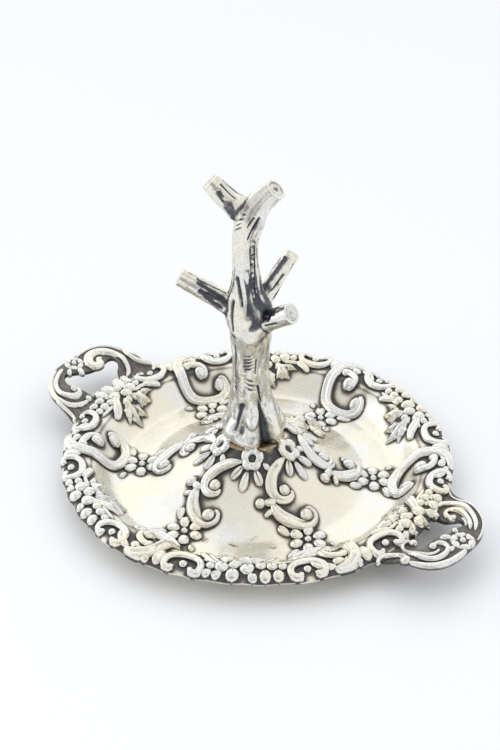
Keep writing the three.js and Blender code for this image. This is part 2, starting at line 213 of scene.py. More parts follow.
LAMP_PLACE = Vector((-0.3, -0.75, 0.7))
LAMP_AIM = Vector((0.0, 0.0, 0.03))
LAMP_SIZE = 0.68
LAMP_WATTS = 1.8
lamp_data = bpy.data.lights.new("tent_front_lamp", "AREA")
lamp_data.shape = "SQUARE"
lamp_data.size = LAMP_SIZE
lamp_data.energy = LAMP_WATTS
lamp = set_out("tent_front_lamp", lamp_data)
lamp.location = LAMP_PLACE
lamp.visible_glossy = False
lamp.rotation_euler = (LAMP_AIM - LAMP_PLACE).to_track_quat("-Z", "Y").to_euler()

TABLE_HALF = 3.0
table_mesh = bpy.data.meshes.new("table")
table_corners = [(TABLE_HALF * x, TABLE_HALF * y, 0.0) for x, y in ((-1, -1), (1, -1), (1, 1), (-1, 1))]
table_mesh.from_pydata(table_corners, [], [(0, 1, 2, 3)])
table = set_out("table", table_mesh)
white_table = {"Base Color": rgb(0.955, 0.958, 0.965), "Roughness": 0.7}
table_mesh.materials.append(make_material("white_table", lambda graph: white_table))


# Antique silver: polished where hands and cloth reach and left dark in the hollows. Each piece
# carries an attribute of tarnish and painted shade from 0, bright, to 1, black; the colour, gloss
# and grain follow it. Below 0 the silver is rubbed brighter, and its grey patina is gone.
WHITE_SILVER = rgb(0.84, 0.84, 0.82)
CREAM_SILVER = rgb(0.87, 0.845, 0.73)
GREY_PATINA = rgb(0.5, 0.49, 0.46)


def silver(name, warm, gloss, mottle, patina, grain=0.00003, swell=0.0002, brushed=0.0, cold=0.0):
    """Metal whose colour goes from cream to brown to blue-black as tarnish and painted shade grow.

    warm is the share of cream patches, gloss the roughness where bright, mottle the strength of
    dark specks, patina that of greyer ones, and cold how far the darks lean to blue. grain, swell
    and brushed are the depths in metres of the fine scratches, of the slow unevenness of hand
    work and of the lines that polishing left along the brush attribute.
    """

    def look(graph):
        place = graph.node("ShaderNodeTexCoord", output="Object")
        tarnish_and_shade = graph.node("ShaderNodeAttribute", {"attribute_name": "tarnish_and_shade"}, output="Fac")
        cloud = graph.noise(place, 75.0, 3.0)
        speck = graph.noise(place, 1500.0, 3.0, 0.6)
        wear = graph.noise(place, 420.0, 4.0, 0.62)
        patch = cloud.between(0.62 - 0.35 * warm, 0.78 - 0.35 * warm)
        bright = graph.blend(patch, WHITE_SILVER, CREAM_SILVER)
        rubbed = (tarnish_and_shade * -1.0).between(0.02, 0.25)
        greyer = (1 - speck.between(0.38, 0.58)) * (1 - rubbed) * patina
        bright = graph.blend(greyer, bright, GREY_PATINA)
        brown = rgb(0.28 - 0.03 * cold, 0.255, 0.2 + 0.05 * cold)
        black = rgb(0.102 - 0.006 * cold, 0.1, 0.104 + 0.012 * cold)
        dark = tarnish_and_shade + (speck - 0.5) * mottle + (wear - 0.5) * mottle + (cloud - 0.5) * 0.25
        colour = graph.blend(dark.between(0.12, 0.62), bright, brown)
        colour = graph.blend(dark.between(0.42, 0.95), colour, black)
        roughness = gloss + dark.between(0.1, 0.9) * 0.3 + (wear - 0.5) * 0.1
        normal = graph.bump(graph.noise(place, 190.0, 1.0), swell)
        if brushed:
            run = graph.node("ShaderNodeAttribute", {"attribute_name": "brush"}, output="Vector")
            lines = graph.noise(run, 1.0, 3.0, 0.6)
            roughness = roughness + lines * 0.12
            normal = graph.bump(lines, brushed, normal)
        normal = graph.bump(wear + speck * 0.4, grain, normal)
        return {"Base Color": colour, "Metallic": 1.0, "Roughness": roughness, "Normal": normal}

    return make_material(name, look)


dish_silver = silver(
    "dish_silver", warm=0.75, gloss=0.22, mottle=0.25, patina=0.1, swell=0.0003, brushed=0.00004
)
relief_silver = silver("relief_silver", warm=0.45, gloss=0.16, mottle=0.5, patina=0.25)
tree_silver = silver("tree_silver", warm=0.6, gloss=0.16, mottle=1.1, patina=0.4, grain=0.00008, cold=1.0)


# Struck relief of the dish: scrolls, flowers and leaves raised in the sheet, six times round. Each
# is a low closed ridge along a path in plan, set on the sheet's face and sunk a little into it.
def smooth(share):
    """Smooth step: 3 s squared minus 2 s cubed, with s held between 0 and 1."""
    s = np.clip(share, 0.0, 1.0)
    return s * s * (3 - 2 * s)


def bell(distance, width):
    """1 at no distance and falling as exp of minus the square of distance over width."""
    return np.exp(-((distance / width) ** 2))


def all_round(count):
    """A row of even bearings in radians, once round."""
    return np.linspace(0, 2 * np.pi, count, endpoint=False)[None, :]


SHEET = 1.4
RIM = 45.9
BOSS_RADIUS = 7.4
BOSS_HEIGHT = 12.5
CONE_FOOT = 26.0
WALL_FOOT = 31.5
BORDER = 39.5
BORDER_HEIGHT = 7.1
BORDER_CROWN = 0.5
ARM_SWELL = 0.45
SCALLOP = 0.35
EDGE_ROUND = 0.9


def face_height(radius):
    """Height of the dish's face: flat boss, cone that falls by a power of 1.28, flat ring, wall
    that rises by a smooth step of the run to the power 1.3, and a border crowned by half a sine."""
    cone = (radius - BOSS_RADIUS) / (CONE_FOOT - BOSS_RADIUS)
    wall = np.clip((radius - WALL_FOOT) / (BORDER - WALL_FOOT), 0, 1)
    crown = np.clip((radius - BORDER) / (RIM - BORDER), 0, 1)
    on_cone = SHEET + (BOSS_HEIGHT - SHEET) * np.clip(1 - cone, 0, 1) ** 1.28
    on_wall = SHEET + (BORDER_HEIGHT - SHEET) * smooth(wall**1.3)
    on_border = BORDER_HEIGHT + BORDER_CROWN * np.sin(np.pi * crown)
    return np.where(radius < CONE_FOOT, on_cone, np.where(radius < BORDER, on_wall, on_border))


def rim_reach(radius, bearing):
    """Radius drawn in over the border by a cosine, so that the outline swells at each of the six
    arms, and near the edge by uneven scallops."""
    drawn_in = ARM_SWELL / RIM * (1 - np.cos(6 * (bearing - np.pi / 6))) / 2
    scallop = SCALLOP / RIM * (1 - np.cos(36 * bearing + 1.4 * np.sin(6 * bearing + 1))) / 2
    edge = smooth((radius - BORDER) / (RIM - BORDER))
    return radius * (1 - drawn_in * edge - scallop * smooth((radius - 43.5) / 2.4))


def on_dish(flat):
    """Places (x, y, lift) on the dish: the face's point plus lift along its normal, whose slope is
    the difference of the face's height 0.4 mm to either side. On the border lift is upright; the
    outline is followed there, and the last millimetre falls away over the rounded edge."""
    x, y, lift = flat[..., 0], flat[..., 1], flat[..., 2]
    radius = np.hypot(x, y) + 1e-9
    slope = (face_height(radius + 0.4) - face_height(radius - 0.4)) / 0.8
    slope = slope * smooth((BORDER + 1.5 - radius) / 1.5)
    steep = np.sqrt(1 + slope**2)
    held = np.minimum(radius - lift * slope / steep, RIM)
    bearing = np.arctan2(y, x)
    reach = rim_reach(held, bearing)
    over = np.clip((radius - RIM + EDGE_ROUND) / EDGE_ROUND, 0, 1)
    height = face_height(np.minimum(radius, RIM)) + lift / steep - 0.5 * (1 - np.sqrt(1 - 0.96 * over**2))
    return np.stack([reach * np.cos(bearing), reach * np.sin(bearing), height], -1)


def curve(points, count):
    """Even steps along the Catmull-Rom curve through points: each span is the cubic whose end
    slopes are half the chord between the neighbours, and arc length spaces the steps."""
    p = np.asarray(points, float)
    padded = np.vstack([2 * p[0] - p[1], p, 2 * p[-1] - p[-2]])
    t = np.linspace(0, len(p) - 1, 30 * len(p))
    span = np.minimum(t.astype(int), len(p) - 2)
    f = (t - span)[:, None]
    a, b, c, d = (padded[span + k] for k in range(4))
    cubic = (3 * (b - c) - a + d) * f**3 + (2 * a - 5 * b + 4 * c - d) * f**2 + (c - a) * f
    dense = b + cubic / 2
    run = np.concatenate([[0], np.cumsum(np.linalg.norm(np.diff(dense, axis=0), axis=1))])
    at = np.linspace(0, run[-1], count)
    return np.stack([np.interp(at, run, dense[:, k]) for k in range(p.shape[1])], 1)


def spread(values, shares):
    """Values at even stations carried to other shares of the length by smooth steps."""
    values = np.asarray(values, float)
    place = np.asarray(shares) * (len(values) - 1)
    low = np.minimum(place.astype(int), len(values) - 2)
    return values[low] + (values[low + 1] - values[low]) * smooth(place - low)


def ridge(path, half, rise, across=9, groove=0.0, groove_at=0.0, root=0.6):
    """Closed ridge along a path, as rings of (x, y, lift).

    Across it, from -1 to 1, lift is rise times the arch (1 - |v|^2.6)^0.5 less a groove shaped as
    a bell; two points below close each ring at the depth root.
    """
    along = np.gradient(path, axis=0)
    along /= np.linalg.norm(along, axis=1)[:, None]
    side = np.stack([-along[:, 1], along[:, 0]], 1)
    v = -np.cos(np.linspace(0, np.pi, across))
    arch = np.clip(1 - np.abs(v) ** 2.6, 0, 1) ** 0.5 * (1 - groove * bell(v - groove_at, 0.3))
    ring = np.concatenate([v, [0.85, -0.85]])
    plan = path[:, None, :] + side[:, None, :] * (half[:, None] * ring[None, :])[..., None]
    lift = np.concatenate([rise[:, None] * arch[None, :], np.full((len(path), 2), -root)], 1)
    return np.concatenate([plan, lift[..., None]], 2)


def scroll(points, width, rise, steps=30, ends=(0.35, 0.35), body=(1.0,), **shape):
    """Ridge along a curve whose width swells by the shares in body and is drawn in at both ends
    as a quarter circle over the shares of its length in ends."""
    shares = np.linspace(0, 1, steps)
    near_start = np.clip(shares / ends[0], 0, 1)
    near_end = np.clip((1 - shares) / ends[1], 0, 1)
    round_in = np.sqrt((1 - (1 - near_start) ** 2) * (1 - (1 - near_end) ** 2))
    swell = spread(body, shares) if len(body) > 1 else 1.0
    half = np.maximum(width / 2 * swell * round_in, 0.02)
    high = rise * np.maximum(round_in, 0.05) ** 0.6 * swell**0.5
    return ridge(curve(points, steps), half, high, **shape)


def petal(start, tip, width, rise, full=0.2, steps=9, **shape):
    """Domed petal or leaf from start to tip: half its width times the root of 1 - t squared, with
    t from -1 to 1 along it, and fuller towards the tip by the share full."""
    start, tip = np.asarray(start, float), np.asarray(tip, float)
    t = -np.cos(np.linspace(0.12, np.pi - 0.12, steps))
    path = start + (tip - start) * (t[:, None] + 1) / 2
    dome = np.sqrt(1 - t**2)
    return ridge(path, width / 2 * dome * (1 + full * t), rise * dome**0.8, **shape)


def knob(x, y, radius, rise):
    """Ball sunk in the sheet: a round petal."""
    return petal((x - radius, y), (x + radius, y), 2 * radius, rise, 0.0)


def turned(flat, degrees):
    """A sector's shape, whose y axis points outwards, turned to lie along a bearing."""
    a = np.radians(degrees)
    x, y = flat[..., 0], flat[..., 1]
    return np.stack([y * np.cos(a) + x * np.sin(a), y * np.sin(a) - x * np.cos(a), flat[..., 2]], -1)


def polar(points):
    """Degrees clockwise from the sector's middle, and radius, as x and y of the sector."""
    points = np.asarray(points, float)
    g = np.radians(points[:, 0])
    return np.stack([points[:, 1] * np.sin(g), points[:, 1] * np.cos(g)], 1)


big_scrolls = [
    scroll(
        [(1.9, 45.1), (-1.4, 45.0), (-3.7, 43.0), (-4.4, 39.8), (-4.2, 36.2), (-2.5, 33.5),
         (0.8, 32.2), (4.2, 32.5), (6.2, 34.2), (6.0, 36.0), (4.6, 36.6)],
        2.9, 1.3, 54, (0.1, 0.1), (0.8, 1.1, 1.1, 1, 1.1, 1, 0.6), across=13, groove=0.4, groove_at=-0.1,
    ),
    knob(4.7, 35.3, 1.35, 1.4),
    scroll([(-3.4, 40.9), (-1.0, 41.3), (1.3, 40.3), (2.0, 38.5), (0.9, 37.2)], 1.9, 1.1, 20, (0.2, 0.2)),
    knob(0.6, 38.4, 1.4, 1.45),
    scroll([(0.9, 44.4), (3.2, 43.6), (4.9, 42.0), (5.0, 40.2)], 2.0, 0.95, 16, (0.4, 0.3),
           across=11, groove=0.3),
]

crescents = [
    scroll(
        [(3.3, 15.8), (3.7, 17.7), (3.0, 20.0), (1.0, 22.2), (-1.3, 23.5), (-3.4, 23.3), (-4.6, 21.8),
         (-4.1, 20.2), (-2.9, 19.9)],
        2.9, 1.3, 48, (0.3, 0.1), (0.45, 1, 1.12, 0.95, 0.6, 0.4), across=13, groove=0.36, groove_at=0.4,
    ),
    knob(-2.6, 21.5, 1.55, 1.7),
    scroll(
        [(-3.3, 8.9), (-0.6, 10.4), (1.6, 12.2), (2.7, 14.6), (2.1, 16.6), (0.4, 17.4), (-1.3, 16.8),
         (-1.6, 15.5)],
        2.5, 1.25, 38, (0.3, 0.12), (0.5, 1, 1.15, 0.8, 0.45), across=13, groove=0.36, groove_at=-0.4,
    ),
    knob(0.1, 15.5, 1.35, 1.5),
    scroll([(2.6, 17.2), (4.2, 16.9), (5.6, 16.4)], 1.9, 1.15, 12, (0.3, 0.3), (0.8, 1, 0.8)),
    knob(6.2, 16.3, 1.2, 1.3),
    petal((3.4, 18.2), (6.4, 19.2), 1.4, 0.9),
]

FLOWER_X, FLOWER_Y = -0.4, 27.5
flowers = [
    petal(
        (FLOWER_X + 1.3 * np.sin(b), FLOWER_Y + 1.3 * np.cos(b)),
        (FLOWER_X + 4.45 * np.sin(b), FLOWER_Y + 4.45 * np.cos(b)),
        2.65, 1.05, 0.18, 11, across=11, groove=0.1,
    )
    for b in np.radians(np.arange(6) * 60 + 24)
]
flowers += [
    knob(FLOWER_X, FLOWER_Y, 0.85, 1.15),
    petal((2.7, 29.9), (6.0, 31.8), 2.3, 0.95, across=11, groove=0.7),
    petal((2.9, 25.0), (4.4, 22.1), 2.0, 0.95, across=11, groove=0.7),
    petal((-4.3, 30.4), (-6.0, 31.9), 1.5, 0.8),
]

# Rings of a daisy from its foot over the brim into its hole: share of the radius, and of the rise
DAISY_RINGS = np.array([
    (0.95, -0.6), (1.0, -0.05), (0.97, 0.6), (0.86, 0.94), (0.66, 1.0), (0.45, 0.86), (0.34, 0.62),
    (0.28, 0.1), (0.16, 0.0), (0.04, 0.02),
])
DAISY_LOBES = 5


def daisy(x, y, radius, rise):
    """Lobed disc with a hole. Each ring's radius is its share times 1 + 0.09 cos(5 b) of that
    share, and the lift dips between the lobes."""
    shares, lifts = DAISY_RINGS[:, :1], DAISY_RINGS[:, 1:]
    b = all_round(8 * DAISY_LOBES)
    lobes = np.cos(DAISY_LOBES * (b - 0.3))
    reach = radius * shares * (1 + 0.09 * lobes * shares)
    dip = 1 - 0.4 * (1 - lobes) / 2 * (shares > 0.55)
    return np.stack([x + reach * np.cos(b), y + reach * np.sin(b), rise * lifts * dip], -1)


daisies = [daisy(4.35 * side, 7.5, 2.45, 1.3) for side in (-1, 1)]
daisies += [
    petal((4.6, 9.7), (4.7, 13.2), 2.1, 0.95, across=11, groove=0.8),
    petal((6.2, 9.2), (9.1, 12.4), 2.0, 1.0, across=11, groove=0.8),
    petal((6.6, 7.8), (10.0, 8.7), 1.9, 0.95, across=11, groove=0.8),
    petal((2.6, 9.2), (1.6, 10.8), 1.5, 0.8),
]

border_scrolls = [
    scroll(polar(line), 1.75, 1.1, 40, (0.08, 0.08), (0.9, 1, 1.1, 1, 0.9), across=11, groove=0.25)
    for line in (
        [(-22.4, 44.2), (-23.5, 45.3), (-25.4, 44.7), (-25.3, 42.7), (-23.3, 41.2), (-20.5, 40.8),
         (-17.5, 41.4), (-15.9, 43.2), (-16.3, 45.0), (-18.2, 45.2), (-18.7, 43.9)],
        [(12.1, 43.9), (11.3, 45.2), (9.5, 45.2), (9.1, 43.2), (10.5, 41.4), (13.6, 40.7),
         (17.0, 41.0), (19.2, 42.6), (19.2, 44.8), (17.4, 45.4), (16.5, 44.2)],
    )
]
border_scrolls += [
    scroll(polar([(3.5, 40.2), (6.6, 40.5), (9.6, 40.4)]), 1.1, 0.7, 10),
    scroll(polar([(-16.0, 40.3), (-10.5, 40.1), (-5.5, 40.2)]), 1.0, 0.65, 10),
]

# Border petals: bearing and radius of start and tip, width, rise and groove; then the berries
# between them: bearing, radius and size
BORDER_PETALS = (
    (-12.3, 42.9, -12.5, 45.9, 2.64, 1.16, 0),
    (-8.9, 42.8, -8.8, 45.9, 2.71, 1.16, 0),
    (-5.6, 43.7, -5.2, 45.9, 2.25, 1.00, 0.4),
    (-4.9, 40.3, -3.0, 43.9, 3.18, 1.21, 0),
    (0.1, 42.7, 0.0, 45.9, 3.11, 1.26, 0),
    (4.2, 40.1, 2.9, 43.8, 3.18, 1.21, 0),
    (2.9, 44.1, 5.6, 45.5, 1.98, 0.95, 0.6),
    (5.8, 43.9, 8.2, 45.4, 1.98, 0.95, 0.6),
    (21.5, 41.0, 21.8, 45.6, 2.64, 1.16, 0.3),
    (24.5, 40.7, 24.6, 44.3, 2.77, 1.16, 0),
    (24.0, 44.3, 25.6, 45.8, 1.98, 0.95, 0),
    (26.4, 42.6, 29.0, 45.3, 2.38, 1.05, 0.4),
    (-32.0, 43.6, -28.2, 42.6, 2.11, 1.00, 0),
)
BORDER_BERRIES = (
    (-14.0, 41.7, 0.95), (-10.9, 41.5, 1.15), (-7.8, 41.2, 1.1), (0.0, 41.2, 1.1),
    (6.6, 42.3, 0.95), (14.2, 43.4, 0.85), (-20.6, 43.3, 0.8), (27.2, 41.2, 1.05),
)
border_petals = [
    petal(*polar([(g, r), (tip_g, tip_r)]), width, rise, across=11 if groove else 9, groove=groove)
    for g, r, tip_g, tip_r, width, rise, groove in BORDER_PETALS
]
border_petals += [knob(*polar([(g, r)])[0], 1.15 * size, 1.05 * size) for g, r, size in BORDER_BERRIES]

LEAF_SHARES = (0, 0.1, 0.3, 0.48, 0.55, 0.68, 0.74, 1)
LEAF_WIDTHS = (0.2, 0.45, 0.8, 1.15, 0.8, 0.66, 0.42, 0.04)
LEAF_STEPS = 33
LEAF_ACROSS = 15


def leaf(points, width, rise, teeth=0.2):
    """Ivy leaf folded along its middle: half its width follows the outline from the stalk over a
    side point to the long tip, less two saw teeth; the lift falls off straight from the fold, with
    a vein halfway."""
    shares = np.linspace(0.02, 0.985, LEAF_STEPS)
    outline = np.interp(shares, LEAF_SHARES, LEAF_WIDTHS)
    half = width / 2 * outline * (1 - teeth * (1 - 4 * shares % 1) * (shares < 0.5))
    high = rise * (0.35 + 0.65 * np.sin(np.pi * shares))
    shape = ridge(curve(points, LEAF_STEPS), half, high, across=LEAF_ACROSS)
    v = np.abs(np.cos(np.linspace(0, np.pi, LEAF_ACROSS)))
    shape[:, :LEAF_ACROSS, 2] *= 1.2 - 0.85 * v - 0.14 * bell(v - 0.5, 0.12)
    return shape


def wall_spray(hand):
    """Ivy leaves in a fan, two curled stalks and two berries; hand -1 is the mirrored spray."""
    def at(*places):
        return polar([(hand * g, r) for g, r in places])

    return [
        leaf(at((-2.4, 40.0), (-3.7, 37.2), (-4.3, 33.3)), 4.3, 1.1, teeth=0.3),
        leaf(at((-3.4, 38.4), (-6.0, 36.8), (-8.6, 35.4)), 2.6, 0.95),
        leaf(at((-2.6, 38.0), (-0.6, 36.4), (1.6, 34.6)), 2.6, 0.95),
        leaf(at((0.4, 39.9), (3.3, 38.2), (7.2, 36.6)), 4.0, 1.1, teeth=0.3),
        leaf(at((3.2, 38.8), (6.4, 38.9), (9.4, 38.3)), 1.9, 0.9),
        scroll(at((-3.7, 41.6), (-5.8, 40.6), (-8.2, 39.2), (-11.0, 38.0), (-13.2, 37.9)),
               2.1, 1.05, 24, (0.2, 0.5), (1, 1.1, 1), across=11, groove=0.3),
        scroll(at((8.2, 40.8), (11.2, 39.7), (14.0, 38.4)), 1.9, 1.0, 18, (0.3, 0.5), across=11, groove=0.3),
        knob(*at((0.6, 40.6))[0], 1.3, 1.3),
        knob(*at((-1.6, 39.0))[0], 0.9, 1.15),
    ]


def around(shapes, bearings):
    """The shapes of a sector turned to lie along each of the bearings."""
    return [turned(shape, bearing) for bearing in bearings for shape in shapes]


ARMS = range(30, 390, 60)
GAPS = range(0, 360, 60)
dish_relief = {
    "dish_arm_scrolls": around(big_scrolls, ARMS),
    "dish_crescents": around(crescents, ARMS),
    "dish_flowers": around(flowers, ARMS),
    "dish_daisies": around(daisies, ARMS),
    "dish_border_scrolls": around(border_scrolls, GAPS),
    "dish_border_petals": around(border_petals, GAPS),
    "dish_wall_leaves": around(wall_spray(1), (0, 120, 180, 240)) + around(wall_spray(-1), (60, 300)),
}

CELL = 0.125
CELLS = 1024


def finer(grid, times):
    """The same surface with more rows and columns, by straight lines between its own."""
    for axis in (0, 1):
        count = grid.shape[axis]
        at = np.linspace(0, count - 1, (count - 1) * times + 1)
        low = np.minimum(at.astype(int), count - 2)
        part = (at - low).reshape((-1, 1, 1) if axis == 0 else (1, -1, 1))
        first, second = np.take(grid, low, axis), np.take(grid, low + 1, axis)
        grid = first + (second - first) * part
    return grid


def height_map(shapes):
    """Highest lift of the shapes over each cell of the plan."""
    field = np.zeros(CELLS * CELLS)
    for shape in shapes:
        dense = finer(shape[:, :-2], 4).reshape(-1, 3)
        cell = np.clip((dense[:, :2] / CELL + CELLS / 2).astype(int), 0, CELLS - 1)
        np.maximum.at(field, cell[:, 1] * CELLS + cell[:, 0], dense[:, 2])
    return field.reshape(CELLS, CELLS)


def blurred(field, radius):
    """The field softened by a round bell of that radius: its waves are weakened by
    exp(-2 (pi radius frequency) squared)."""
    frequency = np.fft.fftfreq(CELLS, CELL)
    half = np.fft.rfftfreq(CELLS, CELL)
    weak = np.exp(-2 * (np.pi * radius) ** 2 * (frequency[:, None] ** 2 + half[None, :] ** 2))
    return np.fft.irfft2(np.fft.rfft2(field) * weak, s=(CELLS, CELLS))


def sampled(field, x, y):
    """The field at plan places, straight between its four nearest cells."""
    u, v = x / CELL + CELLS / 2 - 0.5, y / CELL + CELLS / 2 - 0.5
    i, j = np.floor(u).astype(int), np.floor(v).astype(int)
    fu, fv = u - i, v - j
    low = field[j, i] * (1 - fu) + field[j, i + 1] * fu
    high = field[j + 1, i] * (1 - fu) + field[j + 1, i + 1] * fu
    return low * (1 - fv) + high * fv


relief_height = height_map([shape for shapes in dish_relief.values() for shape in shapes])
relief_near = blurred(relief_height, 0.42)
relief_wide = blurred(relief_height, 1.1)
relief_halo = blurred(relief_height, 2.6)


def dish_tarnish(flat):
    """Dark where the work stands higher close by than here, in the creases on top of the work,
    over the border's ground and along the border's foot."""
    x, y, lift = flat[..., 0], flat[..., 1], flat[..., 2]
    radius = np.hypot(x, y)
    near = sampled(relief_near, x, y)
    ground = smooth((0.3 - lift) / 0.3)
    hollow = (0.7 + 0.6 * ground) * near - 1.5 * lift
    hollow = hollow + (0.5 + 0.45 * ground) * sampled(relief_wide, x, y)
    outer = smooth((radius - BORDER) / 0.8)
    climb = smooth((0.82 + 0.12 * outer - lift) / 0.5)
    hollow = ((1.4 + 0.3 * outer) * hollow - 0.1) * climb + 0.3 * ground * sampled(relief_halo, x, y)
    border = smooth((radius - BORDER - 0.2) / 0.7) * (1 - 0.8 * smooth((radius - 44.7) / 0.5))
    border_ground = border * smooth((0.28 - lift) / 0.2)
    foot_line = 0.4 * bell(radius - BORDER + 0.9, 0.35) * ground
    crease = 2.4 * np.clip(near - lift + 0.02, 0, 0.35) * smooth((lift - 0.3) / 0.3)
    return np.clip(np.maximum(hollow, 0.72 * border_ground) + foot_line + crease, 0, 0.92)


def make_piece(name, shells, material, replaced, brush=None):
    """One object from closed shells, each (points in millimetres, tarnish with painted shade, capped).

    Points are rings of a grid that closes across. The first and last ring are capped where capped
    is True and joined where it is False. A shell with a negative volume is turned to face outwards.
    """
    places, tarnish_and_shade_parts, corners, sizes = [], [], [], []
    start = 0
    for points, tarnish_and_shade, capped in shells:
        rows, columns = points.shape[:2]
        index = np.arange(rows * columns).reshape(rows, columns)
        above = np.roll(index, -1, 0)
        quads = np.stack([index, np.roll(index, -1, 1), np.roll(above, -1, 1), above], -1)
        quads = quads[:rows - 1 if capped else rows].reshape(-1, 4)
        faces = [quads.reshape(-1)]
        counts = [np.full(len(quads), 4)]
        if capped:
            faces += [index[0][::-1], index[-1]]
            counts += [np.array([columns, columns])]
        flat = points.reshape(-1, 3)
        a, b, c, d = (flat[quads[:, k]] - flat[0] for k in range(4))
        volume = np.sum(a * np.cross(b, c)) + np.sum(a * np.cross(c, d))
        if volume < 0:
            faces = [quads[:, ::-1].reshape(-1)] + [f[::-1] for f in faces[1:]]
        places.append(flat)
        tarnish_and_shade_parts.append(np.broadcast_to(tarnish_and_shade, (rows, columns)).reshape(-1))
        corners.append(np.concatenate(faces) + start)
        sizes.append(np.concatenate(counts))
        start += len(flat)
    places, corners, sizes = in_frame(np.concatenate(places)), np.concatenate(corners), np.concatenate(sizes)
    mesh = bpy.data.meshes.new(name)
    mesh.vertices.add(len(places))
    mesh.vertices.foreach_set("co", places.ravel())
    mesh.loops.add(len(corners))
    mesh.loops.foreach_set("vertex_index", corners.astype(np.int32))
    mesh.polygons.add(len(sizes))
    mesh.polygons.foreach_set("loop_start", np.concatenate([[0], np.cumsum(sizes)[:-1]]).astype(np.int32))
    mesh.polygons.foreach_set("use_smooth", np.ones(len(sizes), bool))
    mesh.update(calc_edges=True)
    layer = mesh.attributes.new("tarnish_and_shade", "FLOAT", "POINT")
    layer.data.foreach_set("value", np.concatenate(tarnish_and_shade_parts).astype(np.float32))
    if brush is not None:
        layer = mesh.attributes.new("brush", "FLOAT_VECTOR", "POINT")
        layer.data.foreach_set("vector", brush.astype(np.float32).ravel())
    mesh.materials.append(material)
    piece = set_out(name, mesh)
    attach(piece, "root")
    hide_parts(*replaced)


for name, shapes in dish_relief.items():
    shells = [(on_dish(shape), dish_tarnish(shape), True) for shape in shapes]
    make_piece(name, shells, relief_silver, ("dish",))


# Dish sheet: one disc of silver struck to shape, holed at the centre for the tree's stud, with a
# rounded edge. The work shows on its back as shallow hollows. A painted shadow lies on the dish
# round the tree's foot and painted shade on its edge beside the handles, and a few old stains lie
# in the front panel.
HOLE = 1.8
TREE_AXIS = np.array([-0.7, -0.5])
ANGLES = 600
BACK_HOLLOW = 0.6
# Old stains: place, half length, half width, turn in radians, and darkness
STAINS = (
    (11.7, -24.7, 1.8, 0.5, 0.12, 0.75),
    (14.2, -20.5, 1.9, 0.75, 0.92, 0.45),
    (19.4, -20.0, 1.6, 0.45, 0.74, 0.65),
    (6.0, -26.9, 1.1, 0.9, 0.92, 0.6),
)


def foot_shadow_and_stains(x, y):
    """Painted shadow of the tree's foot, a dark ring round it, and the real stains: each stain is a
    bell along its bent length times one across it, made ragged by two sines."""
    # painted shadow: a dark ring on the dish round the tree's foot; the loop below adds the real stains
    dark = 0.6 * bell(np.hypot(x, y) - 8.1, 0.9)
    for stain_x, stain_y, long, wide, turn, level in STAINS:
        east = (x - stain_x) * np.cos(turn) + (y - stain_y) * np.sin(turn)
        north = (y - stain_y) * np.cos(turn) - (x - stain_x) * np.sin(turn) - 0.12 * east**2
        ragged = 0.75 + 0.25 * np.sin(3.1 * x + 1.7 * y) * np.sin(2.3 * y - 4.0 * x)
        dark = dark + level * ragged * bell(east, long) * bell(north, wide)
    return dark


def sheet_grid():
    """The sheet as one loop of rings: out over the face, round the edge and back underneath.

    Rings near the hole are centred on the tree; the back lies one sheet below the face along its
    normal and rises under the work by up to BACK_HOLLOW.
    """
    flat_end = RIM - SHEET / 2
    out = np.interp(range(113), (0, 7, 68, 93, 112), (HOLE, BOSS_RADIUS, WALL_FOOT, BORDER, flat_end))
    back = np.interp(range(45), (0, 8, 20, 41, 44), (flat_end, BORDER, WALL_FOOT, BOSS_RADIUS, HOLE))
    edge = np.linspace(0, np.pi, 9)[1:-1]
    radius = np.concatenate([out, flat_end + SHEET / 2 * np.sin(edge), back])[:, None]
    drop = np.concatenate([0 * out, SHEET / 2 * (1 - np.cos(edge)), 0 * back + SHEET])[:, None]
    bearing = all_round(ANGLES)
    reach = rim_reach(radius, bearing)
    offset = 1 - smooth((radius - HOLE) / (BOSS_RADIUS - HOLE))
    x = reach * np.cos(bearing) + TREE_AXIS[0] * offset
    y = reach * np.sin(bearing) + TREE_AXIS[1] * offset
    near = sampled(relief_wide, x, y)
    hollow = np.where(drop > SHEET - 0.01, np.clip(0.8 * near, 0, BACK_HOLLOW), 0)
    flat = np.stack([x, y, hollow - drop], -1)
    straight = np.stack([x, y, face_height(np.minimum(radius, RIM)) + flat[..., 2]], -1)
    points = np.where((radius > BORDER)[..., None], straight, on_dish(flat))
    face_dark = dish_tarnish(np.stack([x, y, 0 * x], -1))
    tarnish_and_shade = np.where(drop < 0.6, face_dark, 0.12 + 0.5 * np.clip(near, 0, 0.6))
    tarnish_and_shade = tarnish_and_shade + np.where(drop < 0.3, foot_shadow_and_stains(x, y), 0)
    # painted shade: the sheet's edge is darkened beside the handles, where they shade it
    painted_shade_beside_handle = smooth((np.abs(np.cos(bearing)) - 0.965) / 0.02) * smooth((radius - 44.9) / 0.3)
    return points, np.clip(np.maximum(tarnish_and_shade, 0.75 * painted_shade_beside_handle), 0, 1)


sheet_points, sheet_tarnish_and_shade = sheet_grid()
sheet_x, sheet_y = sheet_points[..., 0], sheet_points[..., 1]
sheet_reach = np.hypot(sheet_x, sheet_y)
polished_round = np.stack([5 * sheet_x / sheet_reach, 5 * sheet_y / sheet_reach, 3.5 * sheet_reach], -1)
sheet_shell = (sheet_points, sheet_tarnish_and_shade, False)
make_piece("dish_sheet", [sheet_shell], dish_silver, ("dish",), polished_round)


# Handles: pierced castings soldered to the rim, each a dark flat plate with scrolls, a thin bright
# edge and a flower standing on it. The left one is longer, and turned half round.
PLATE_SUNK = 0.4
PLATE_CLIMB = 2.4
PLATE_RUN = 6.2
LEFT_END_RISE = 0.9
PLATE_STEPS = 110
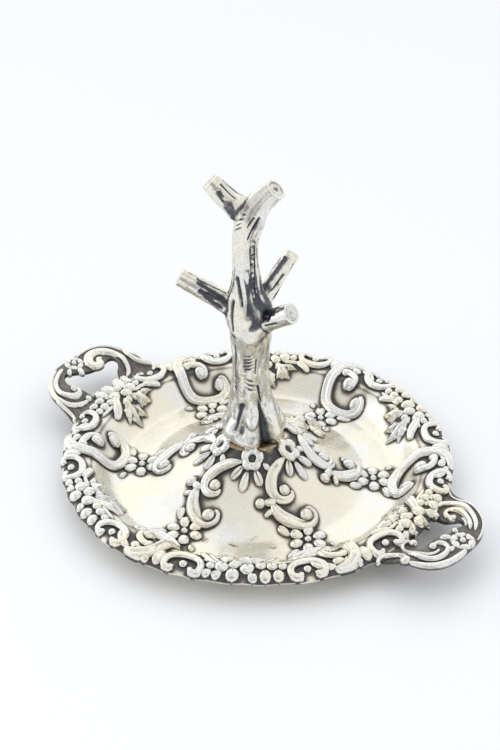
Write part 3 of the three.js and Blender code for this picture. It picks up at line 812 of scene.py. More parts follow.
# Corners of the plate's section: share from the inner to the outer outline, and lift
PLATE_SECTION = np.array([
    (0.0, -0.08), (0.04, 0.1), (0.2, 0.1), (0.35, 0.1), (0.5, 0.1), (0.65, 0.1), (0.8, 0.1), (0.96, 0.1),
    (1, -0.08), (1, -0.3), (1, -0.85), (0.96, -1), (0.7, -1), (0.3, -1), (0.04, -1), (0, -0.85), (0, -0.3),
    (0, -0.1),
])


def on_handle(flat, left):
    """Places (x, y, lift) on a handle: the plate's level plus lift. The left one's end rises."""
    x, y, lift = flat[..., 0], flat[..., 1], flat[..., 2]
    run = smooth((np.hypot(x, y) - RIM) / PLATE_RUN)
    level = BORDER_HEIGHT - PLATE_SUNK + PLATE_CLIMB * run + LEFT_END_RISE * left * smooth((x - 52) / 8)
    sign = -1 if left else 1
    return np.stack([sign * x, sign * y, level + lift], -1)


def plate(edges):
    """Flat bar of the casting: each station gives a place on its outer outline and one on its
    inner outline. The ring across it has sharp corners, and walls that stand upright."""
    line = curve(edges, PLATE_STEPS)
    outer, inner = line[:, None, :2], line[:, None, 2:]
    flat = inner + (outer - inner) * PLATE_SECTION[:, :1]
    return np.concatenate([flat, np.broadcast_to(PLATE_SECTION[:, 1:], (*flat.shape[:2], 1))], 2)


def band(points, width, rise, steps, body=(1.0,), groove=0.0):
    """Rounded bar standing on a handle's plate."""
    return scroll(points, width, rise, steps, (0.1, 0.1), body, across=13, groove=groove, root=0.5)


def handle_flower(x, y, radius):
    """Ball in a sunk ring, and six petals with a groove along each."""
    made = [knob(x, y, 0.3 * radius, 1.1)]
    for b in np.radians(np.arange(6) * 60 + 12):
        outwards = radius * np.array([np.cos(b), np.sin(b)])
        start, tip = (x, y) + 0.44 * outwards, (x, y) + 1.1 * outwards
        made.append(petal(start, tip, 0.98 * radius, 0.75, 0.4, 13, across=13, groove=0.25, root=0.5))
    return made


right_plate = plate([
    (42.2, 16.0, 42.0, 4.6), (45.3, 13.7, 45.0, 4.4), (48.0, 12.1, 46.8, 4.0), (51.0, 10.7, 48.6, 3.3),
    (53.4, 9.2, 50.2, 3.4), (55.7, 6.9, 51.6, 4.1), (57.2, 4.2, 52.9, 3.1), (58.0, 1.2, 52.1, 1.0),
    (58.0, -1.8, 51.8, -1.2), (57.7, -5.2, 50.7, -2.7), (56.8, -8.7, 49.9, -5.0), (55.2, -11.4, 49.6, -7.0),
    (53.3, -13.1, 49.9, -8.4), (51.0, -14.1, 48.8, -8.8), (48.4, -14.5, 47.3, -7.3),
    (45.0, -14.6, 45.4, -5.6), (42.0, -15.4, 43.0, -4.8),
])
right_bands = [
    band([(45.3, 4.6), (44.4, 6.2), (44.2, 8.0), (44.9, 9.5), (46.3, 10.1), (48.4, 9.6), (51.0, 8.3),
          (53.2, 6.8), (54.9, 4.9), (55.9, 2.7)], 1.35, 0.95, 50, (1, 1, 1.1, 1, 0.8), 0.12),
    band([(42.9, 14.9), (44.4, 13.0), (46.5, 11.8), (49.3, 10.8), (52.2, 9.6), (54.8, 7.6), (56.5, 5.2),
          (57.5, 2.4), (57.8, 0.2)], 0.55, 0.5, 44),
    band([(49.7, 4.2), (48.1, 4.9), (46.9, 6.1), (46.9, 7.3), (48.1, 7.7), (50.0, 7.0), (52.2, 5.6),
          (53.9, 4.1), (54.9, 2.4)], 1.3, 0.95, 40, (0.9, 1, 1.15, 1.1, 0.8)),
    band([(51.4, 4.9), (52.7, 4.1), (53.6, 3.0)], 0.6, 0.5, 10),
    band([(49.6, -14.6), (51.4, -14.2), (53.5, -13.3), (55.4, -11.6), (56.7, -9.1), (57.3, -6.3),
          (57.5, -3.8)], 1.5, 0.8, 40, (0.6, 1, 1.1, 1, 0.7)),
    band([(46.1, -6.4), (44.9, -6.7), (44.7, -8.2), (45.9, -9.9), (48.6, -11.4), (51.0, -11.9), (53.1, -11.2),
          (54.3, -9.7), (54.7, -7.7), (54.2, -6.0), (52.9, -5.3), (51.6, -5.9), (51.2, -7.1)],
         1.3, 0.95, 64, (0.9, 0.9, 1, 1.1, 1.15, 1, 0.9)),
    band([(47.4, -10.4), (49.6, -10.9), (51.6, -10.4), (52.8, -9.0), (53.1, -7.2)], 0.75, 0.7, 26),
    band([(43.9, -17.0), (43.3, -15.2), (44.0, -13.5), (46.0, -12.4), (47.8, -13.1), (48.9, -14.4)],
         1.5, 1.1, 26, (0.8, 1, 1, 0.9)),
]
right_sprays = handle_flower(55.5, -1.9, 2.45) + [
    knob(49.7, 4.0, 0.95, 1.2),
    knob(45.5, 4.5, 0.85, 1.2),
    knob(51.4, -7.4, 0.9, 1.2),
    knob(46.3, -6.6, 0.95, 1.2),
    knob(48.9, -14.4, 1.2, 1.35),
    petal((53.5, -2.4), (50.9, -3.7), 1.5, 0.9, root=0.5),
    petal((53.4, -0.2), (51.8, 0.2), 1.3, 0.9, root=0.5),
    petal((55.2, -4.8), (54.8, -6.6), 1.3, 0.9, root=0.5),
    leaf([(41.8, 1.9), (44.0, 1.0), (46.4, 0.3)], 3.0, 1.7),
    leaf([(41.6, -1.0), (44.0, -2.6), (45.8, -4.6)], 2.8, 1.6),
    leaf([(41.8, 4.0), (43.8, 3.9), (46.0, 3.6)], 2.2, 1.5),
    petal((40.9, 8.3), (42.9, 10.3), 2.4, 1.5, across=11, groove=0.3),
    petal((40.6, 7.2), (42.9, 6.6), 2.4, 1.5, across=11, groove=0.3),
]

left_plate = plate([
    (42.8, 16.2, 43.0, 5.4), (46.6, 15.3, 46.4, 5.2), (49.6, 14.9, 48.7, 5.7), (53.2, 13.4, 51.2, 6.7),
    (56.6, 11.0, 53.4, 7.2), (58.8, 8.1, 55.4, 6.4), (60.0, 4.8, 56.5, 4.8), (60.4, 1.5, 55.4, 2.4),
    (60.5, -0.8, 53.8, 0.2), (60.5, -3.6, 53.0, -2.6), (60.4, -7.2, 53.0, -5.2), (59.5, -10.2, 53.6, -7.6),
    (57.6, -12.3, 52.8, -8.9), (54.8, -13.5, 51.3, -8.6), (51.6, -13.8, 49.8, -7.3),
    (48.0, -14.2, 48.7, -5.8), (43.6, -15.0, 46.0, -4.8), (41.5, -15.0, 43.0, -4.4),
])
left_bands = [
    band([(59.2, 5.2), (58.1, 8.1), (55.4, 11.4), (51.8, 13.5), (48.8, 13.7), (47.1, 12.0), (46.4, 9.2),
          (46.7, 6.9)], 1.4, 0.85, 46, (0.7, 1, 1.1, 1, 1, 0.8)),
    band([(58.4, 3.7), (57.4, 6.6), (55.4, 9.6), (52.8, 11.3), (50.5, 11.4), (49.1, 10.1), (48.9, 8.4),
          (49.7, 7.2), (50.9, 7.5)], 1.5, 1.0, 46, (0.7, 0.9, 1, 1.1, 0.8), 0.12),
    band([(54.6, -7.0), (54.9, -5.5), (53.3, -4.5), (53.3, -2.9), (55.1, -2.6), (56.9, -4.1), (57.4, -6.4),
          (56.5, -8.6), (54.5, -10.1), (51.8, -10.3), (49.1, -9.6), (47.2, -8.4), (46.2, -6.4)],
         1.7, 1.1, 64, (0.8, 1.5, 1.7, 1.3, 0.95, 0.85, 0.8), 0.1),
    band([(59.4, -1.9), (59.9, -4.6), (59.7, -7.8), (58.3, -10.5), (56.0, -12.2), (53.2, -12.9)],
         0.55, 0.5, 34),
    band([(56.0, -7.4), (55.2, -8.5), (53.8, -9.3), (52.2, -9.3)], 0.45, 0.5, 14),
    band([(53.4, -13.1), (50.6, -12.2), (47.9, -12.7), (45.0, -15.0)], 1.25, 1.0, 24),
    band([(50.6, 14.4), (48.4, 15.0), (46.2, 14.8), (44.3, 15.1), (43.0, 16.3)], 0.95, 0.85, 22),
]
left_sprays = handle_flower(58.1, 0.1, 2.3) + [
    knob(50.8, 8.0, 0.9, 1.2),
    knob(46.8, 7.1, 0.9, 1.2),
    petal((57.2, 2.6), (55.6, 4.6), 1.4, 0.9, root=0.5),
    petal((56.0, 0.8), (53.4, 1.8), 1.7, 1.0, across=11, groove=0.3, root=0.5),
    petal((56.0, -1.4), (53.8, -2.4), 1.3, 0.9, root=0.5),
    petal((42.0, 3.9), (47.6, 4.3), 2.7, 1.6, across=13, groove=0.25),
    petal((41.8, 0.8), (47.8, 1.4), 2.8, 1.7, across=13, groove=0.25),
    petal((41.8, -1.8), (48.0, -3.2), 2.7, 1.6, across=13, groove=0.25),
    petal((43.0, -4.4), (47.4, -5.6), 1.9, 1.5, across=11, groove=0.3),
]


def handle_shells(flat_plate, work, left):
    """Shells of one handle, dark where its own height map stands over the surface; the plate's
    faces and walls are dark all over."""
    field = height_map(work)
    near, wide = blurred(field, 0.35), blurred(field, 1.0)
    shells = []
    for shape in [flat_plate] + work:
        x, y, lift = shape[..., 0], shape[..., 1], shape[..., 2]
        hollow = 0.9 * sampled(near, x, y) + 0.6 * sampled(wide, x, y) - 1.25 * lift
        tarnish_and_shade = np.clip(1.1 * hollow, 0, 0.8) * smooth((0.6 - lift) / 0.4)
        if shape is flat_plate:
            tarnish_and_shade = np.clip(0.74 + 0.2 * hollow - 0.3 * smooth((-0.4 - lift) / 0.8), 0, 0.95)
        shells.append((on_handle(shape, left), tarnish_and_shade, True))
    return shells


right_shells = handle_shells(right_plate, right_bands + right_sprays, False)
left_shells = handle_shells(left_plate, left_bands + left_sprays, True)
make_piece("right_handle_casting", right_shells, relief_silver, ("right_handle",))
make_piece("left_handle_casting", left_shells, relief_silver, ("left_handle",))


# Tree: a cast trunk with root lobes, chased bark and a top that bends into the right-hand limb,
# and four sawn-off branches. Grooves, punched dots and the corners between limbs are left dark.
FOOT = 12.9
FOOT_RADIUS = 6.9
TRUNK_HEIGHT = 61.5
LIMB_LEAN = 5.9
LIMB_BEARING = np.radians(46)
TRUNK_RINGS = 420
TRUNK_ANGLES = 180
BRANCH_LENGTH = 17.0
BRANCH_RADIUS = 2.1
SAWN_SLOPE_RUN = 3.0
# Stations of the trunk: share of its height, of its lean and of its radius at the foot
TRUNK_STATIONS = np.array([
    (0, 0, 0.9), (0.018, 0, 1), (0.04, 0, 1), (0.075, -0.01, 0.9), (0.12, -0.05, 0.79),
    (0.18, -0.085, 0.68), (0.28, -0.095, 0.59), (0.38, -0.095, 0.61), (0.45, -0.1, 0.68),
    (0.52, -0.16, 0.66), (0.58, -0.24, 0.54), (0.64, -0.28, 0.455), (0.76, -0.3, 0.4),
    (0.83, -0.27, 0.42), (0.89, -0.1, 0.43), (0.95, 0.32, 0.37), (1, 0.92, 0.34),
])
# Rings of a sawn end: share of the radius, height and tarnish, from the corner to the pith
SAWN_RINGS = np.array([
    (0.98, 0.14, -0.3), (0.93, 0.2, -0.3), (0.86, 0.2, -0.2), (0.8, 0.17, 0.1), (0.72, 0.03, 0.45),
    (0.64, -0.02, 0.3), (0.55, 0.0, 0.2), (0.42, 0.03, 0.2), (0.28, -0.02, 0.25), (0.16, -0.1, 0.4),
    (0.04, -0.12, 0.4),
])


def wave(seed, *fields, count=5):
    """Irregular smooth pattern from -1 to 1: the mean of sine waves whose directions and phases
    come from a fixed seed."""
    draw = np.random.default_rng(seed)
    total = 0
    for _ in range(count):
        total = total + np.sin(sum(f * draw.uniform(-1, 1) for f in fields) + draw.uniform(0, 2 * np.pi))
    return total / count * 1.6


def turn_from(angle, degrees):
    """Angle from a bearing in degrees, in radians from minus pi to pi."""
    return (angle - np.radians(degrees) + np.pi) % (2 * np.pi) - np.pi


def tube(path, radius, tarnish_and_shade, start_normal, slant=0.0):
    """Rings of a closed limb along a path, and their tarnish with painted shade.

    The rings' zero angle is start_normal made square to the path. The limb ends in a sawn face
    with a turned recess, which slopes back by slant towards the camera over SAWN_SLOPE_RUN.
    """
    angles = radius.shape[1]
    angle = all_round(angles)
    along = np.gradient(path, axis=0)
    along /= np.linalg.norm(along, axis=1)[:, None]
    normal = start_normal - (along @ start_normal)[:, None] * along
    normal /= np.linalg.norm(normal, axis=1)[:, None]
    side = np.cross(along, normal)
    ring = normal[:, None, :] * np.cos(angle)[..., None] + side[:, None, :] * np.sin(angle)[..., None]
    body = path[:, None, :] + ring * radius[..., None]
    shares, heights, darks = SAWN_RINGS[:, :1], SAWN_RINGS[:, 1:2], SAWN_RINGS[:, 2:]
    rough = 0.05 * wave(17, 5 * shares * np.cos(angle), 5 * shares * np.sin(angle), count=8)
    out = (heights + rough * (shares < 0.9))[..., None]
    end = path[-1] + shares[..., None] * (body[-1] - path[-1]) + out * along[-1]
    foot = path[0] + np.array([0.05, 0.6])[:, None, None] * (body[0] - path[0])
    points = np.concatenate([foot, body, end])
    dark = np.concatenate([np.zeros((2, angles)), tarnish_and_shade, np.repeat(darks, angles, 1)])
    to_camera = -np.array(CAMERA_LOOKS)
    to_camera = to_camera - (to_camera @ along[-1]) * along[-1]
    to_camera /= np.linalg.norm(to_camera)
    later_half = (np.arange(len(points)) > len(points) / 2)[:, None]
    near_end = (1 - smooth((path[-1] - points) @ along[-1] / SAWN_SLOPE_RUN)) * later_half
    end_radius = np.linalg.norm(body[-1, 0] - path[-1])
    back = slant * np.clip((points - path[-1]) @ to_camera + end_radius, 0, None)
    return points - (back * near_end)[..., None] * along[-1], dark


def trunk_axis(share):
    """The trunk's axis at a share of its height; it leans along the limb's bearing."""
    lean = LIMB_LEAN * np.interp(share, TRUNK_STATIONS[:, 0], TRUNK_STATIONS[:, 1])
    x = TREE_AXIS[0] + lean * np.cos(LIMB_BEARING)
    y = TREE_AXIS[1] + lean * np.sin(LIMB_BEARING)
    return np.stack([x, y, FOOT + TRUNK_HEIGHT * share], -1)


def branch_line(start_share, bearing, rise, length, root, tip):
    """Start on the trunk's axis, unit direction, length and radii of a branch."""
    bearing, rise = np.radians(bearing), np.radians(rise)
    along = np.array([np.cos(bearing) * np.cos(rise), np.sin(bearing) * np.cos(rise), np.sin(rise)])
    return {
        "start": trunk_axis(start_share), "along": along, "length": length * BRANCH_LENGTH,
        "root": root * BRANCH_RADIUS, "tip": tip * BRANCH_RADIUS,
    }


branches = {
    "top_left_branch": branch_line(0.889, 195.3, 36.4, 0.712, 1.24, 0.98),
    "mid_left_branch": branch_line(0.524, 207.8, 25.9, 1.0, 1.38, 0.98),
    "rear_branch": branch_line(0.502, 83.8, 37.4, 1.024, 1.1, 0.88),
    "front_stub": branch_line(0.472, 4.5, 29.7, 0.718, 1.33, 1.12),
}


def branch_gap(points, branch):
    """Distance from points to a branch's surface, beyond its root."""
    away = points - branch["start"]
    share = np.clip(away @ branch["along"], 0, branch["length"])
    off = np.linalg.norm(away - share[..., None] * branch["along"], axis=-1)
    radius = branch["tip"] + (branch["root"] - branch["tip"]) * (1 - share / branch["length"]) ** 2
    return off - radius


trunk_line = np.column_stack([trunk_axis(TRUNK_STATIONS[:, 0]), FOOT_RADIUS * TRUNK_STATIONS[:, 2]])
trunk_path = curve(trunk_line, TRUNK_RINGS)
trunk_base = trunk_path[:, 3:]

# Clefts between the roots: angle, depth, half width in radians, and the heights they run between
CLEFTS = (
    (-27, 1.35, 0.25, 0, 21.5), (-78, 0.6, 0.12, 15.2, 17.5), (16, 0.5, 0.1, 0, 17.5),
    (72, 1.0, 0.14, 0, 21.5), (128, 0.7, 0.12, 0, 17.5), (178, 1.0, 0.14, 0, 21.5),
    (-132, 0.6, 0.1, 0, 17.5),
)
# Root lobes, then knots, then the limb's rubbed front: angle, height, half width, half height, rise
LOBES = (
    (-55, 19.3, 1.5, 1.5, 0.7), (-68, 13.6, 3.6, 3.0, 0.9), (-106, 16.4, 2.8, 3.2, 0.9),
    (-1, 16.6, 2.5, 4.4, 0.8), (45, 15.8, 2.0, 2.6, 0.5), (100, 16.2, 2.2, 2.8, 0.5),
    (155, 15.6, 2.0, 2.6, 0.5), (-155, 16.4, 2.0, 2.8, 0.5), (-74, 31.2, 0.9, 0.5, 0.12),
    (-32, 37.6, 0.35, 1.3, 0.15), (-12, 23.7, 0.4, 1.6, 0.15), (-112, 26.0, 0.4, 1.8, 0.12),
    (-78, 71.5, 3.4, 6.5, 0.0),
)
# Chisel cuts: angle, low and high end, width and lean in millimetres round the limb, and depth
TRUNK_CUTS = (
    (-78, 48.4, 55.4, 0.5, -1.6, 0.35), (-101, 42.0, 50.0, 0.42, -0.2, 0.6), (-8, 50, 62, 0.25, 0.6, 0.6),
    (20, 53, 64, 0.3, -0.8, 0.6), (-140, 44, 56, 0.4, 0.6, 0.5), (150, 46, 58, 0.5, -0.8, 0.4),
    (95, 50, 60, 0.45, 0.8, 0.4), (-38, 63.8, 69.6, 0.2, 1.0, 0.5), (-54, 66.4, 69.2, 0.15, 0.6, 0.4),
    (-112, 29.0, 38.0, 0.22, 0.5, 0.35), (-27, 23.6, 28.6, 0.28, -0.8, 0.5),
    (-86, 16.8, 24.0, 0.55, 1.4, 0.45), (-38, 31.0, 35.5, 0.16, 0.2, 0.25), (60, 24, 34, 0.5, 0.6, 0.5),
    (130, 22, 34, 0.5, -0.6, 0.5), (-160, 24, 36, 0.5, 0.5, 0.5),
)
# Hatching: angle, lowest stroke, gap between strokes, their number and their lean
HATCHING = (
    (-60, 32.6, 0.85, 5, 0.3), (-100, 26.5, 1.0, 5, -0.9), (-98, 65.6, 0.8, 4, 0.7),
    (-55, 27.5, 1.1, 3, -0.4),
)
DOT_LEVELS = 50 + 0.55 * np.arange(26)


def cut_slots(cuts, angle, place, radius, tarnish_and_shade):
    """Chisel cuts along a limb, left dark: each is a teardrop, a bell across whose width doubles
    from its low to its high end."""
    for middle, low, high, width, lean, depth in cuts:
        share = np.clip((place - low) / (high - low), 0, 1)
        window = smooth((place - low) / 0.6) * smooth((high - place) / 0.6)
        across = turn_from(angle, middle) * radius - lean * (share - 0.5)
        cut = window * bell(across, width * (0.5 + 0.5 * share))
        radius = radius - depth * cut
        tarnish_and_shade = tarnish_and_shade + 1.2 * cut
    return radius, tarnish_and_shade


def root_clefts(angle, height, radius, tarnish_and_shade):
    """Clefts that narrow and fade as they climb, with a swelling to both sides of each."""
    root = 1 - smooth((height - 15.5) / 9.5)
    narrowing = 0.3 + 0.7 * (1 - smooth((height - 17) / 5))
    for middle, depth, width, low, high in CLEFTS:
        off = turn_from(angle - 0.08 * wave(middle + 400, height * 0.6), middle)
        reach = smooth((height - low) / 1.6) * (1 - smooth((height - high) / 5))
        cleft = bell(off, width * narrowing) * reach
        radius = radius - depth * cleft * (0.35 + 0.65 * root)
        radius = radius + 0.35 * depth * bell(np.abs(off) - 0.36, 0.2) * root
        tarnish_and_shade = tarnish_and_shade + 1.15 * min(depth, 1.0) * cleft
    return radius, tarnish_and_shade


def lobes_and_knots(angle, height, radius, tarnish_and_shade):
    """Domes of (1 - x squared - y squared) to the power 1.3, rubbed bright."""
    for middle, level, wide, high, rise in LOBES:
        across = turn_from(angle, middle) * trunk_base / wide
        dome = np.clip(1 - across**2 - ((height - level) / high) ** 2, 0, 1) ** 1.3
        radius = radius + rise * dome
        tarnish_and_shade = tarnish_and_shade - (0.3 + 0.6 * tarnish_and_shade) * dome
    return radius, tarnish_and_shade


def bark(angle, height, radius, tarnish_and_shade):
    """Long folds, lumps and fine grain up to the fork, and fainter on the limb; the hollows and
    some patches are dark."""
    strength = smooth((height - 16) / 4) * (1 - smooth((height - 39) / 3)) + 0.4 * smooth((height - 52) / 8)
    lumps = wave(5, angle * 9, height * 0.55, count=6)
    fine = wave(6, angle * 20, height * 1.5, count=8)
    folds = wave(11, angle * 13, height * 0.12, count=6)
    dark = 0.42 * np.clip(-folds - 0.15, 0, 1) + 0.3 * np.clip(-lumps - 0.3, 0, 1)
    dark = dark + 0.22 * np.clip(fine - 0.35, 0, 1) + 0.5 * wave(12, angle * 3, height * 0.4, count=6)
    return radius + strength * (0.22 * folds + 0.16 * lumps + 0.07 * fine), tarnish_and_shade + strength * dark


def fork_ledge(angle, height, radius, tarnish_and_shade):
    """The fork's bark ends in an uneven V over the trunk below it, with a painted shadow under it as a dark
    line.
    """
    off = np.abs(turn_from(angle, -66))
    above = height - (39.4 + 2.8 * off**1.1 + 0.7 * wave(21, angle * 4) + 0.25 * wave(22, angle * 14))
    radius = radius + 0.5 * smooth(above / 0.5) * (1 - smooth((above - 5) / 7))
    # painted shadow: a dark line just under the ledge
    return radius, tarnish_and_shade + 0.6 * bell(above + 0.6, 0.8) * (0.6 + 0.5 * wave(23, angle * 7))


def right_flank(angle, height, radius, tarnish_and_shade):
    """Right flank of the upper trunk: two chased lines, and a dark web down to the fork, broken
    by brighter flecks."""
    upper = smooth((height - 47) / 3) * (1 - smooth((height - 61) / 4))
    for middle, seed, dark in ((-28, 31, 0.5), (-2, 32, 0.75)):
        line = bell(turn_from(angle - 0.05 * wave(seed, height * 0.7), middle) * radius, 0.2) * upper
        radius = radius - 0.22 * line
        tarnish_and_shade = tarnish_and_shade + dark * line
    right = turn_from(angle, 0)
    start = np.radians(-56) + 0.12 * wave(33, height * 0.9)
    flank = smooth((right - start) / 0.12) * smooth((np.radians(80) - right) / 0.4)
    top = 51 + 3.5 * bell(turn_from(angle, -40), 0.4) + 1.5 * wave(34, angle * 8)
    low = 43.4 + 2.0 * wave(35, angle * 5)
    web = flank * smooth((height - low) / 1.2) * (1 - smooth((height - top) / 3.5))
    flecks = wave(36, angle * 14, height * 1.5, count=8)
    radius = radius + web * (0.18 * flecks - 0.2)
    return radius, tarnish_and_shade + web * (0.8 - 1.1 * np.clip(flecks, -0.1, 0.7))


def chased_marks(angle, height, radius, tarnish_and_shade):
    """Chisel cuts, rows of short hatching strokes, and a straggling row of punched dots."""
    radius, tarnish_and_shade = cut_slots(TRUNK_CUTS, angle, height, radius, tarnish_and_shade)
    for middle, low, gap, count, lean in HATCHING:
        for mark in range(count):
            off = turn_from(angle, middle) * radius
            stroke = bell(height - (low + mark * gap) - lean * off, 0.2) * bell(off, 0.85)
            radius = radius - 0.16 * stroke
            tarnish_and_shade = tarnish_and_shade + stroke
    draw = np.random.default_rng(3)
    for level in DOT_LEVELS:
        middle = -16 + draw.uniform(-9, 9)
        level = level + draw.uniform(-0.3, 0.3)
        mark = bell(np.hypot(turn_from(angle, middle) * radius, height - level), 0.24)
        radius = radius - 0.18 * mark
        tarnish_and_shade = tarnish_and_shade + 0.85 * mark
    return radius, tarnish_and_shade


def limb_corners(angle, height, radius, tarnish_and_shade):
    """Slow swellings of the trunk, and the dark corners where branches and boss meet it."""
    radius = radius * (1 + 0.02 * wave(41, angle * 2, height * 0.35))
    x, y = trunk_path[:, :1] + radius * np.cos(angle), trunk_path[:, 1:2] + radius * np.sin(angle)
    place = np.stack([x, y, height + 0 * angle], -1)
    for branch in branches.values():
        gap = branch_gap(place, branch)
        radius = radius + 0.35 * bell(gap, 1.2) * (gap > -3)
        tarnish_and_shade = tarnish_and_shade + 0.6 * bell(np.clip(gap, 0, None), 0.4)
    return radius, tarnish_and_shade + 0.5 * bell(height - FOOT, 0.6)


trunk_angle = all_round(TRUNK_ANGLES)
radius = trunk_base + 0 * trunk_angle
tarnish_and_shade = 0.03 + 0 * radius
for work in (root_clefts, lobes_and_knots, bark, fork_ledge, right_flank, chased_marks, limb_corners):
    radius, tarnish_and_shade = work(trunk_angle, trunk_path[:, 2:3], radius, tarnish_and_shade)
points, dark = tube(trunk_path[:, :3], radius, np.clip(tarnish_and_shade, -0.3, 1), np.array([1.0, 0.0, 0.0]), 0.4)
make_piece("trunk_casting", [(points, dark, True)], tree_silver, ("trunk",))

# Chisel cuts of each branch: angle from its upper side, near and far end in millimetres from the
# trunk's axis, width, lean and depth
BRANCH_CUTS = {
    "top_left_branch": (
        (-78, 6.2, 9.4, 0.42, 0.9, 0.25), (-60, 6.8, 9.0, 0.3, 0.5, 0.2), (-25, 4.6, 10.0, 0.22, 0.4, 0.2),
        (20, 4.0, 10.5, 0.3, 0.3, 0.25), (150, 4.0, 8.5, 0.4, 0.5, 0.35),
    ),
    "mid_left_branch": (
        (-42, 6.0, 13.6, 0.55, 0.7, 0.45), (-72, 5.0, 12.4, 0.62, -0.7, 0.5),
        (-104, 5.4, 11.0, 0.6, 0.6, 0.45), (-14, 6.0, 14.0, 0.2, 0.3, 0.2), (60, 6, 13, 0.45, 0.6, 0.4),
        (150, 6.5, 12.5, 0.4, -0.5, 0.35),
    ),
    "rear_branch": (
        (4, 4.6, 16.0, 0.8, 0.3, 0.5), (62, 7.0, 12.5, 0.3, 0.4, 0.3), (-50, 8.0, 15.5, 0.25, 0.3, 0.25),
        (120, 6, 13, 0.4, 0.5, 0.35), (-150, 7, 14, 0.4, 0.4, 0.35),
    ),
    "front_stub": (
        (22, 4.8, 9.4, 0.75, 0.9, 0.45), (55, 4.6, 7.6, 0.5, 0.5, 0.4), (100, 5.6, 9.4, 0.3, 0.5, 0.3),
        (-60, 5.0, 9.8, 0.5, 0.8, 0.4), (-150, 5.0, 9.0, 0.4, 0.6, 0.35),
    ),
}
# Where each branch leaves the trunk: the dark line's place, the facet's angle and place (the facet is
# darkened with painted shade), and the slant of the branch's sawn end
BRANCH_ROOTS = {
    "top_left_branch": (2.9, -92, 4.9, 0.2),
    "mid_left_branch": (4.7, -62, 6.2, 0.0),
    "rear_branch": (4.5, 14, 6.6, 0.0),
    "front_stub": (4.9, 45, 6.2, 0.0),
}
BRANCH_START = 1.2
BRANCH_RINGS = 130
BRANCH_ANGLES = 96
BRANCH_SAG = 0.25
UPWARD = np.array([0.0, 0.0, 1.0])


def branch_surface(number, name, angle, away):
    """Radius and tarnish with painted shade of a branch by angle and millimetres from the trunk's axis:
    a flared root with a collar, bark, its cuts, the dark line where it leaves the trunk and the facet
    filed beside it, which is darkened with painted shade."""
    tip, root, length = (branches[name][key] for key in ("tip", "root", "length"))
    taper = np.linspace(1, 0, len(away))[:, None] ** 2
    radius = tip + (root - tip) * taper + 0 * angle
    radius = radius + 0.5 * bell(away - 3.6, 1.7) * (1 + 0.3 * np.sin(3 * angle + number))
    radius = radius + 0.13 * wave(60 + number, angle * 2.2, away * 0.5) * smooth(away / 4)
    folds = wave(80 + number, angle * 7, away * 0.7, count=6)
    fine = wave(90 + number, angle * 9, away * 2.2, count=8)
    barked = 1 - smooth((away - length + 2.5) / 1.5)
    radius = radius + (0.1 * folds + 0.04 * fine) * barked
    tarnish_and_shade = 0.04 + (0.45 * np.clip(folds - 0.1, 0, 1) + 0.25 * np.clip(fine - 0.3, 0, 1)) * barked
    radius, tarnish_and_shade = cut_slots(BRANCH_CUTS[name], angle, away, radius, tarnish_and_shade)
    line, facet_angle, facet_place, _ = BRANCH_ROOTS[name]
    side_on = turn_from(angle, facet_angle) * radius
    # painted shade darkens the facet beside the branch's root
    shade = smooth(1.6 - np.hypot(side_on / 1.5, (away - facet_place) / 1.7) ** 2)
    tarnish_and_shade = tarnish_and_shade + shade * (0.55 + 0.35 * fine) + 0.8 * bell(away - line, 0.45)
    return radius - 0.3 * shade, np.clip(tarnish_and_shade, 0, 1)


for number, (name, branch) in enumerate(branches.items()):
    run = np.linspace(BRANCH_START, branch["length"] - 0.25, BRANCH_RINGS)[:, None]
    sag = BRANCH_SAG * np.sin(np.pi * (run - BRANCH_START) / (branch["length"] - BRANCH_START))
    path = branch["start"] + run * branch["along"] - sag * UPWARD
    radius, tarnish_and_shade = branch_surface(number, name, all_round(BRANCH_ANGLES), run)
    points, dark = tube(path, radius, tarnish_and_shade, UPWARD, slant=BRANCH_ROOTS[name][3])
    make_piece(name + "_casting", [(points, dark, True)], tree_silver, (name,))


# Solder ring: the fillet of hard solder left in the corner between the roots and the boss, dulled
# and browned by heat.
def round_tree(radius, height, bearing):
    """Points at a radius and a height round the tree's upright axis."""
    x, y = TREE_AXIS[0] + radius * np.cos(bearing), TREE_AXIS[1] + radius * np.sin(bearing)
    return np.stack([x, y, height + 0 * radius], -1)


def lathe(profile, angles, uneven=0.0):
    """Closed profile of (radius, height) turned round the tree's axis; two sines make the radius
    waver by the share uneven."""
    profile = np.asarray(profile, float)
    bearing = all_round(angles)
    waver = 1 + uneven * np.sin(3 * bearing + 1) + 0.6 * uneven * np.sin(7 * bearing + 2)
    return round_tree(profile[:, :1] * waver, profile[:, 1:], bearing)


def solder_look(graph):
    """Dull brass-coloured alloy with brown and grey clouds."""
    place = graph.node("ShaderNodeTexCoord", output="Object")
    cloud = graph.noise(place, 420.0, 4.0, 0.6)
    grain = graph.noise(place, 2400.0, 3.0, 0.6)
    colour = graph.blend(cloud.between(0.38, 0.62), rgb(0.36, 0.26, 0.12), rgb(0.6, 0.52, 0.36))
    colour = graph.blend(grain.between(0.5, 0.75), colour, rgb(0.1, 0.08, 0.06))
    normal = graph.bump(grain + cloud, 0.00008)
    return {"Base Color": colour, "Metallic": 0.85, "Roughness": 0.35 + cloud * 0.25, "Normal": normal}


FILLET_PROFILE = (
    (1.9, 12.52), (6.3, 12.95), (6.6, 12.98), (6.9, 12.9), (7.15, 12.75), (7.3, 12.6), (7.4, 12.45),
    (7.0, 12.4), (1.9, 12.4),
)
FILLET_ANGLES = 120
FILLET_WAVER = 0.012
fillet = lathe(FILLET_PROFILE, FILLET_ANGLES, FILLET_WAVER)
old_solder = make_material("old_solder", solder_look)
make_piece("solder_fillet", [(fillet, 0.0, False)], old_solder, ("solder_ring",))


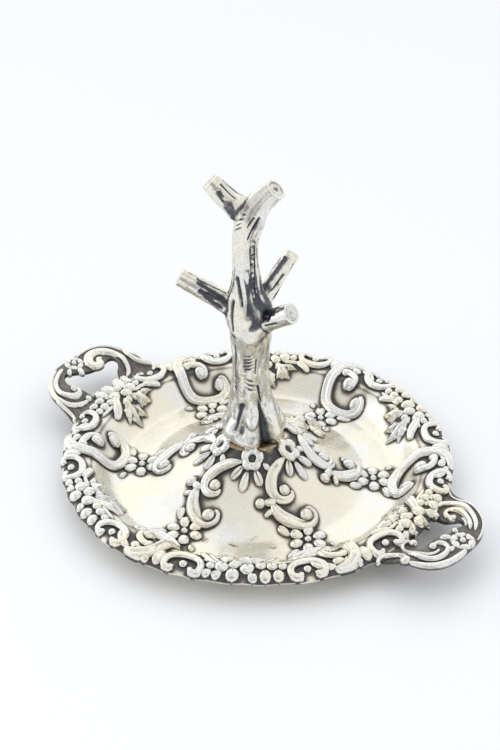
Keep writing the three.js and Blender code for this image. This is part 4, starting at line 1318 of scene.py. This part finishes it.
# Fixing: a threaded steel stud cast into the trunk comes through the dish, and a washer and a
# hexagon nut under the boss hold it. They show only from below.
def steel_look(graph):
    """Bright steel with a turned grain and grey wear."""
    wear = graph.noise(graph.node("ShaderNodeTexCoord", output="Object"), 900.0, 4.0, 0.6)
    colour = graph.blend(wear.between(0.35, 0.7), rgb(0.56, 0.57, 0.58), rgb(0.3, 0.3, 0.31))
    normal = graph.bump(wear, 0.00004)
    return {"Base Color": colour, "Metallic": 1.0, "Roughness": 0.3 + wear * 0.2, "Normal": normal}


steel = make_material("turned_steel", steel_look)
STUD_LOW, STUD_HIGH = 7.0, 21.9
STUD_RADIUS = 1.5
PITCH = 0.7
THREAD_DEPTH = 0.22
stud_height = np.linspace(STUD_LOW, STUD_HIGH, 180)[:, None]
stud_bearing = all_round(24)
turns = (stud_height / PITCH + stud_bearing / (2 * np.pi)) % 1
stud_end = np.minimum(1, np.minimum(stud_height - STUD_LOW, STUD_HIGH - stud_height) / 0.5)
stud_radius = STUD_RADIUS - 0.3 * (1 - stud_end) - THREAD_DEPTH * np.abs(2 * turns - 1)
stud = round_tree(stud_radius, stud_height, stud_bearing)
make_piece("threaded_stud", [(stud, 0.0, True)], steel, ("stud",))

WASHER_PROFILE = (
    (1.85, 10.35), (1.9, 10.3), (4.1, 10.3), (4.2, 10.4), (4.2, 11.0), (4.1, 11.1), (1.9, 11.1),
    (1.85, 11.05),
)
washer = lathe(WASHER_PROFILE, 72)
make_piece("flat_washer", [(washer, 0.0, False)], steel, ("washer",))

# Nut: each row of its profile gives the radius that it is turned to, outside and in the bore, and
# the height; the six flats lie within it
NUT_WIDTH = 5.5
NUT_PROFILE = np.array([
    (2.86, 7.92), (2.96, 8.0), (NUT_WIDTH, 8.35), (NUT_WIDTH, 9.85), (2.96, 10.2), (2.86, 10.28),
    (1.9, 10.28), (1.8, 10.15), (1.8, 8.05), (1.9, 7.92),
])
nut_bearing = all_round(96)
from_flat = (nut_bearing + np.pi / 6) % (np.pi / 3) - np.pi / 6
nut_radius = np.minimum(NUT_WIDTH / 2 / np.cos(from_flat), NUT_PROFILE[:, :1])
nut = round_tree(nut_radius, NUT_PROFILE[:, 1:], nut_bearing)
make_piece("hexagon_nut", [(nut, 0.0, False)], steel, ("nut",))


bpy.context.scene.view_settings.view_transform = "Standard"
bpy.context.view_layer.update()
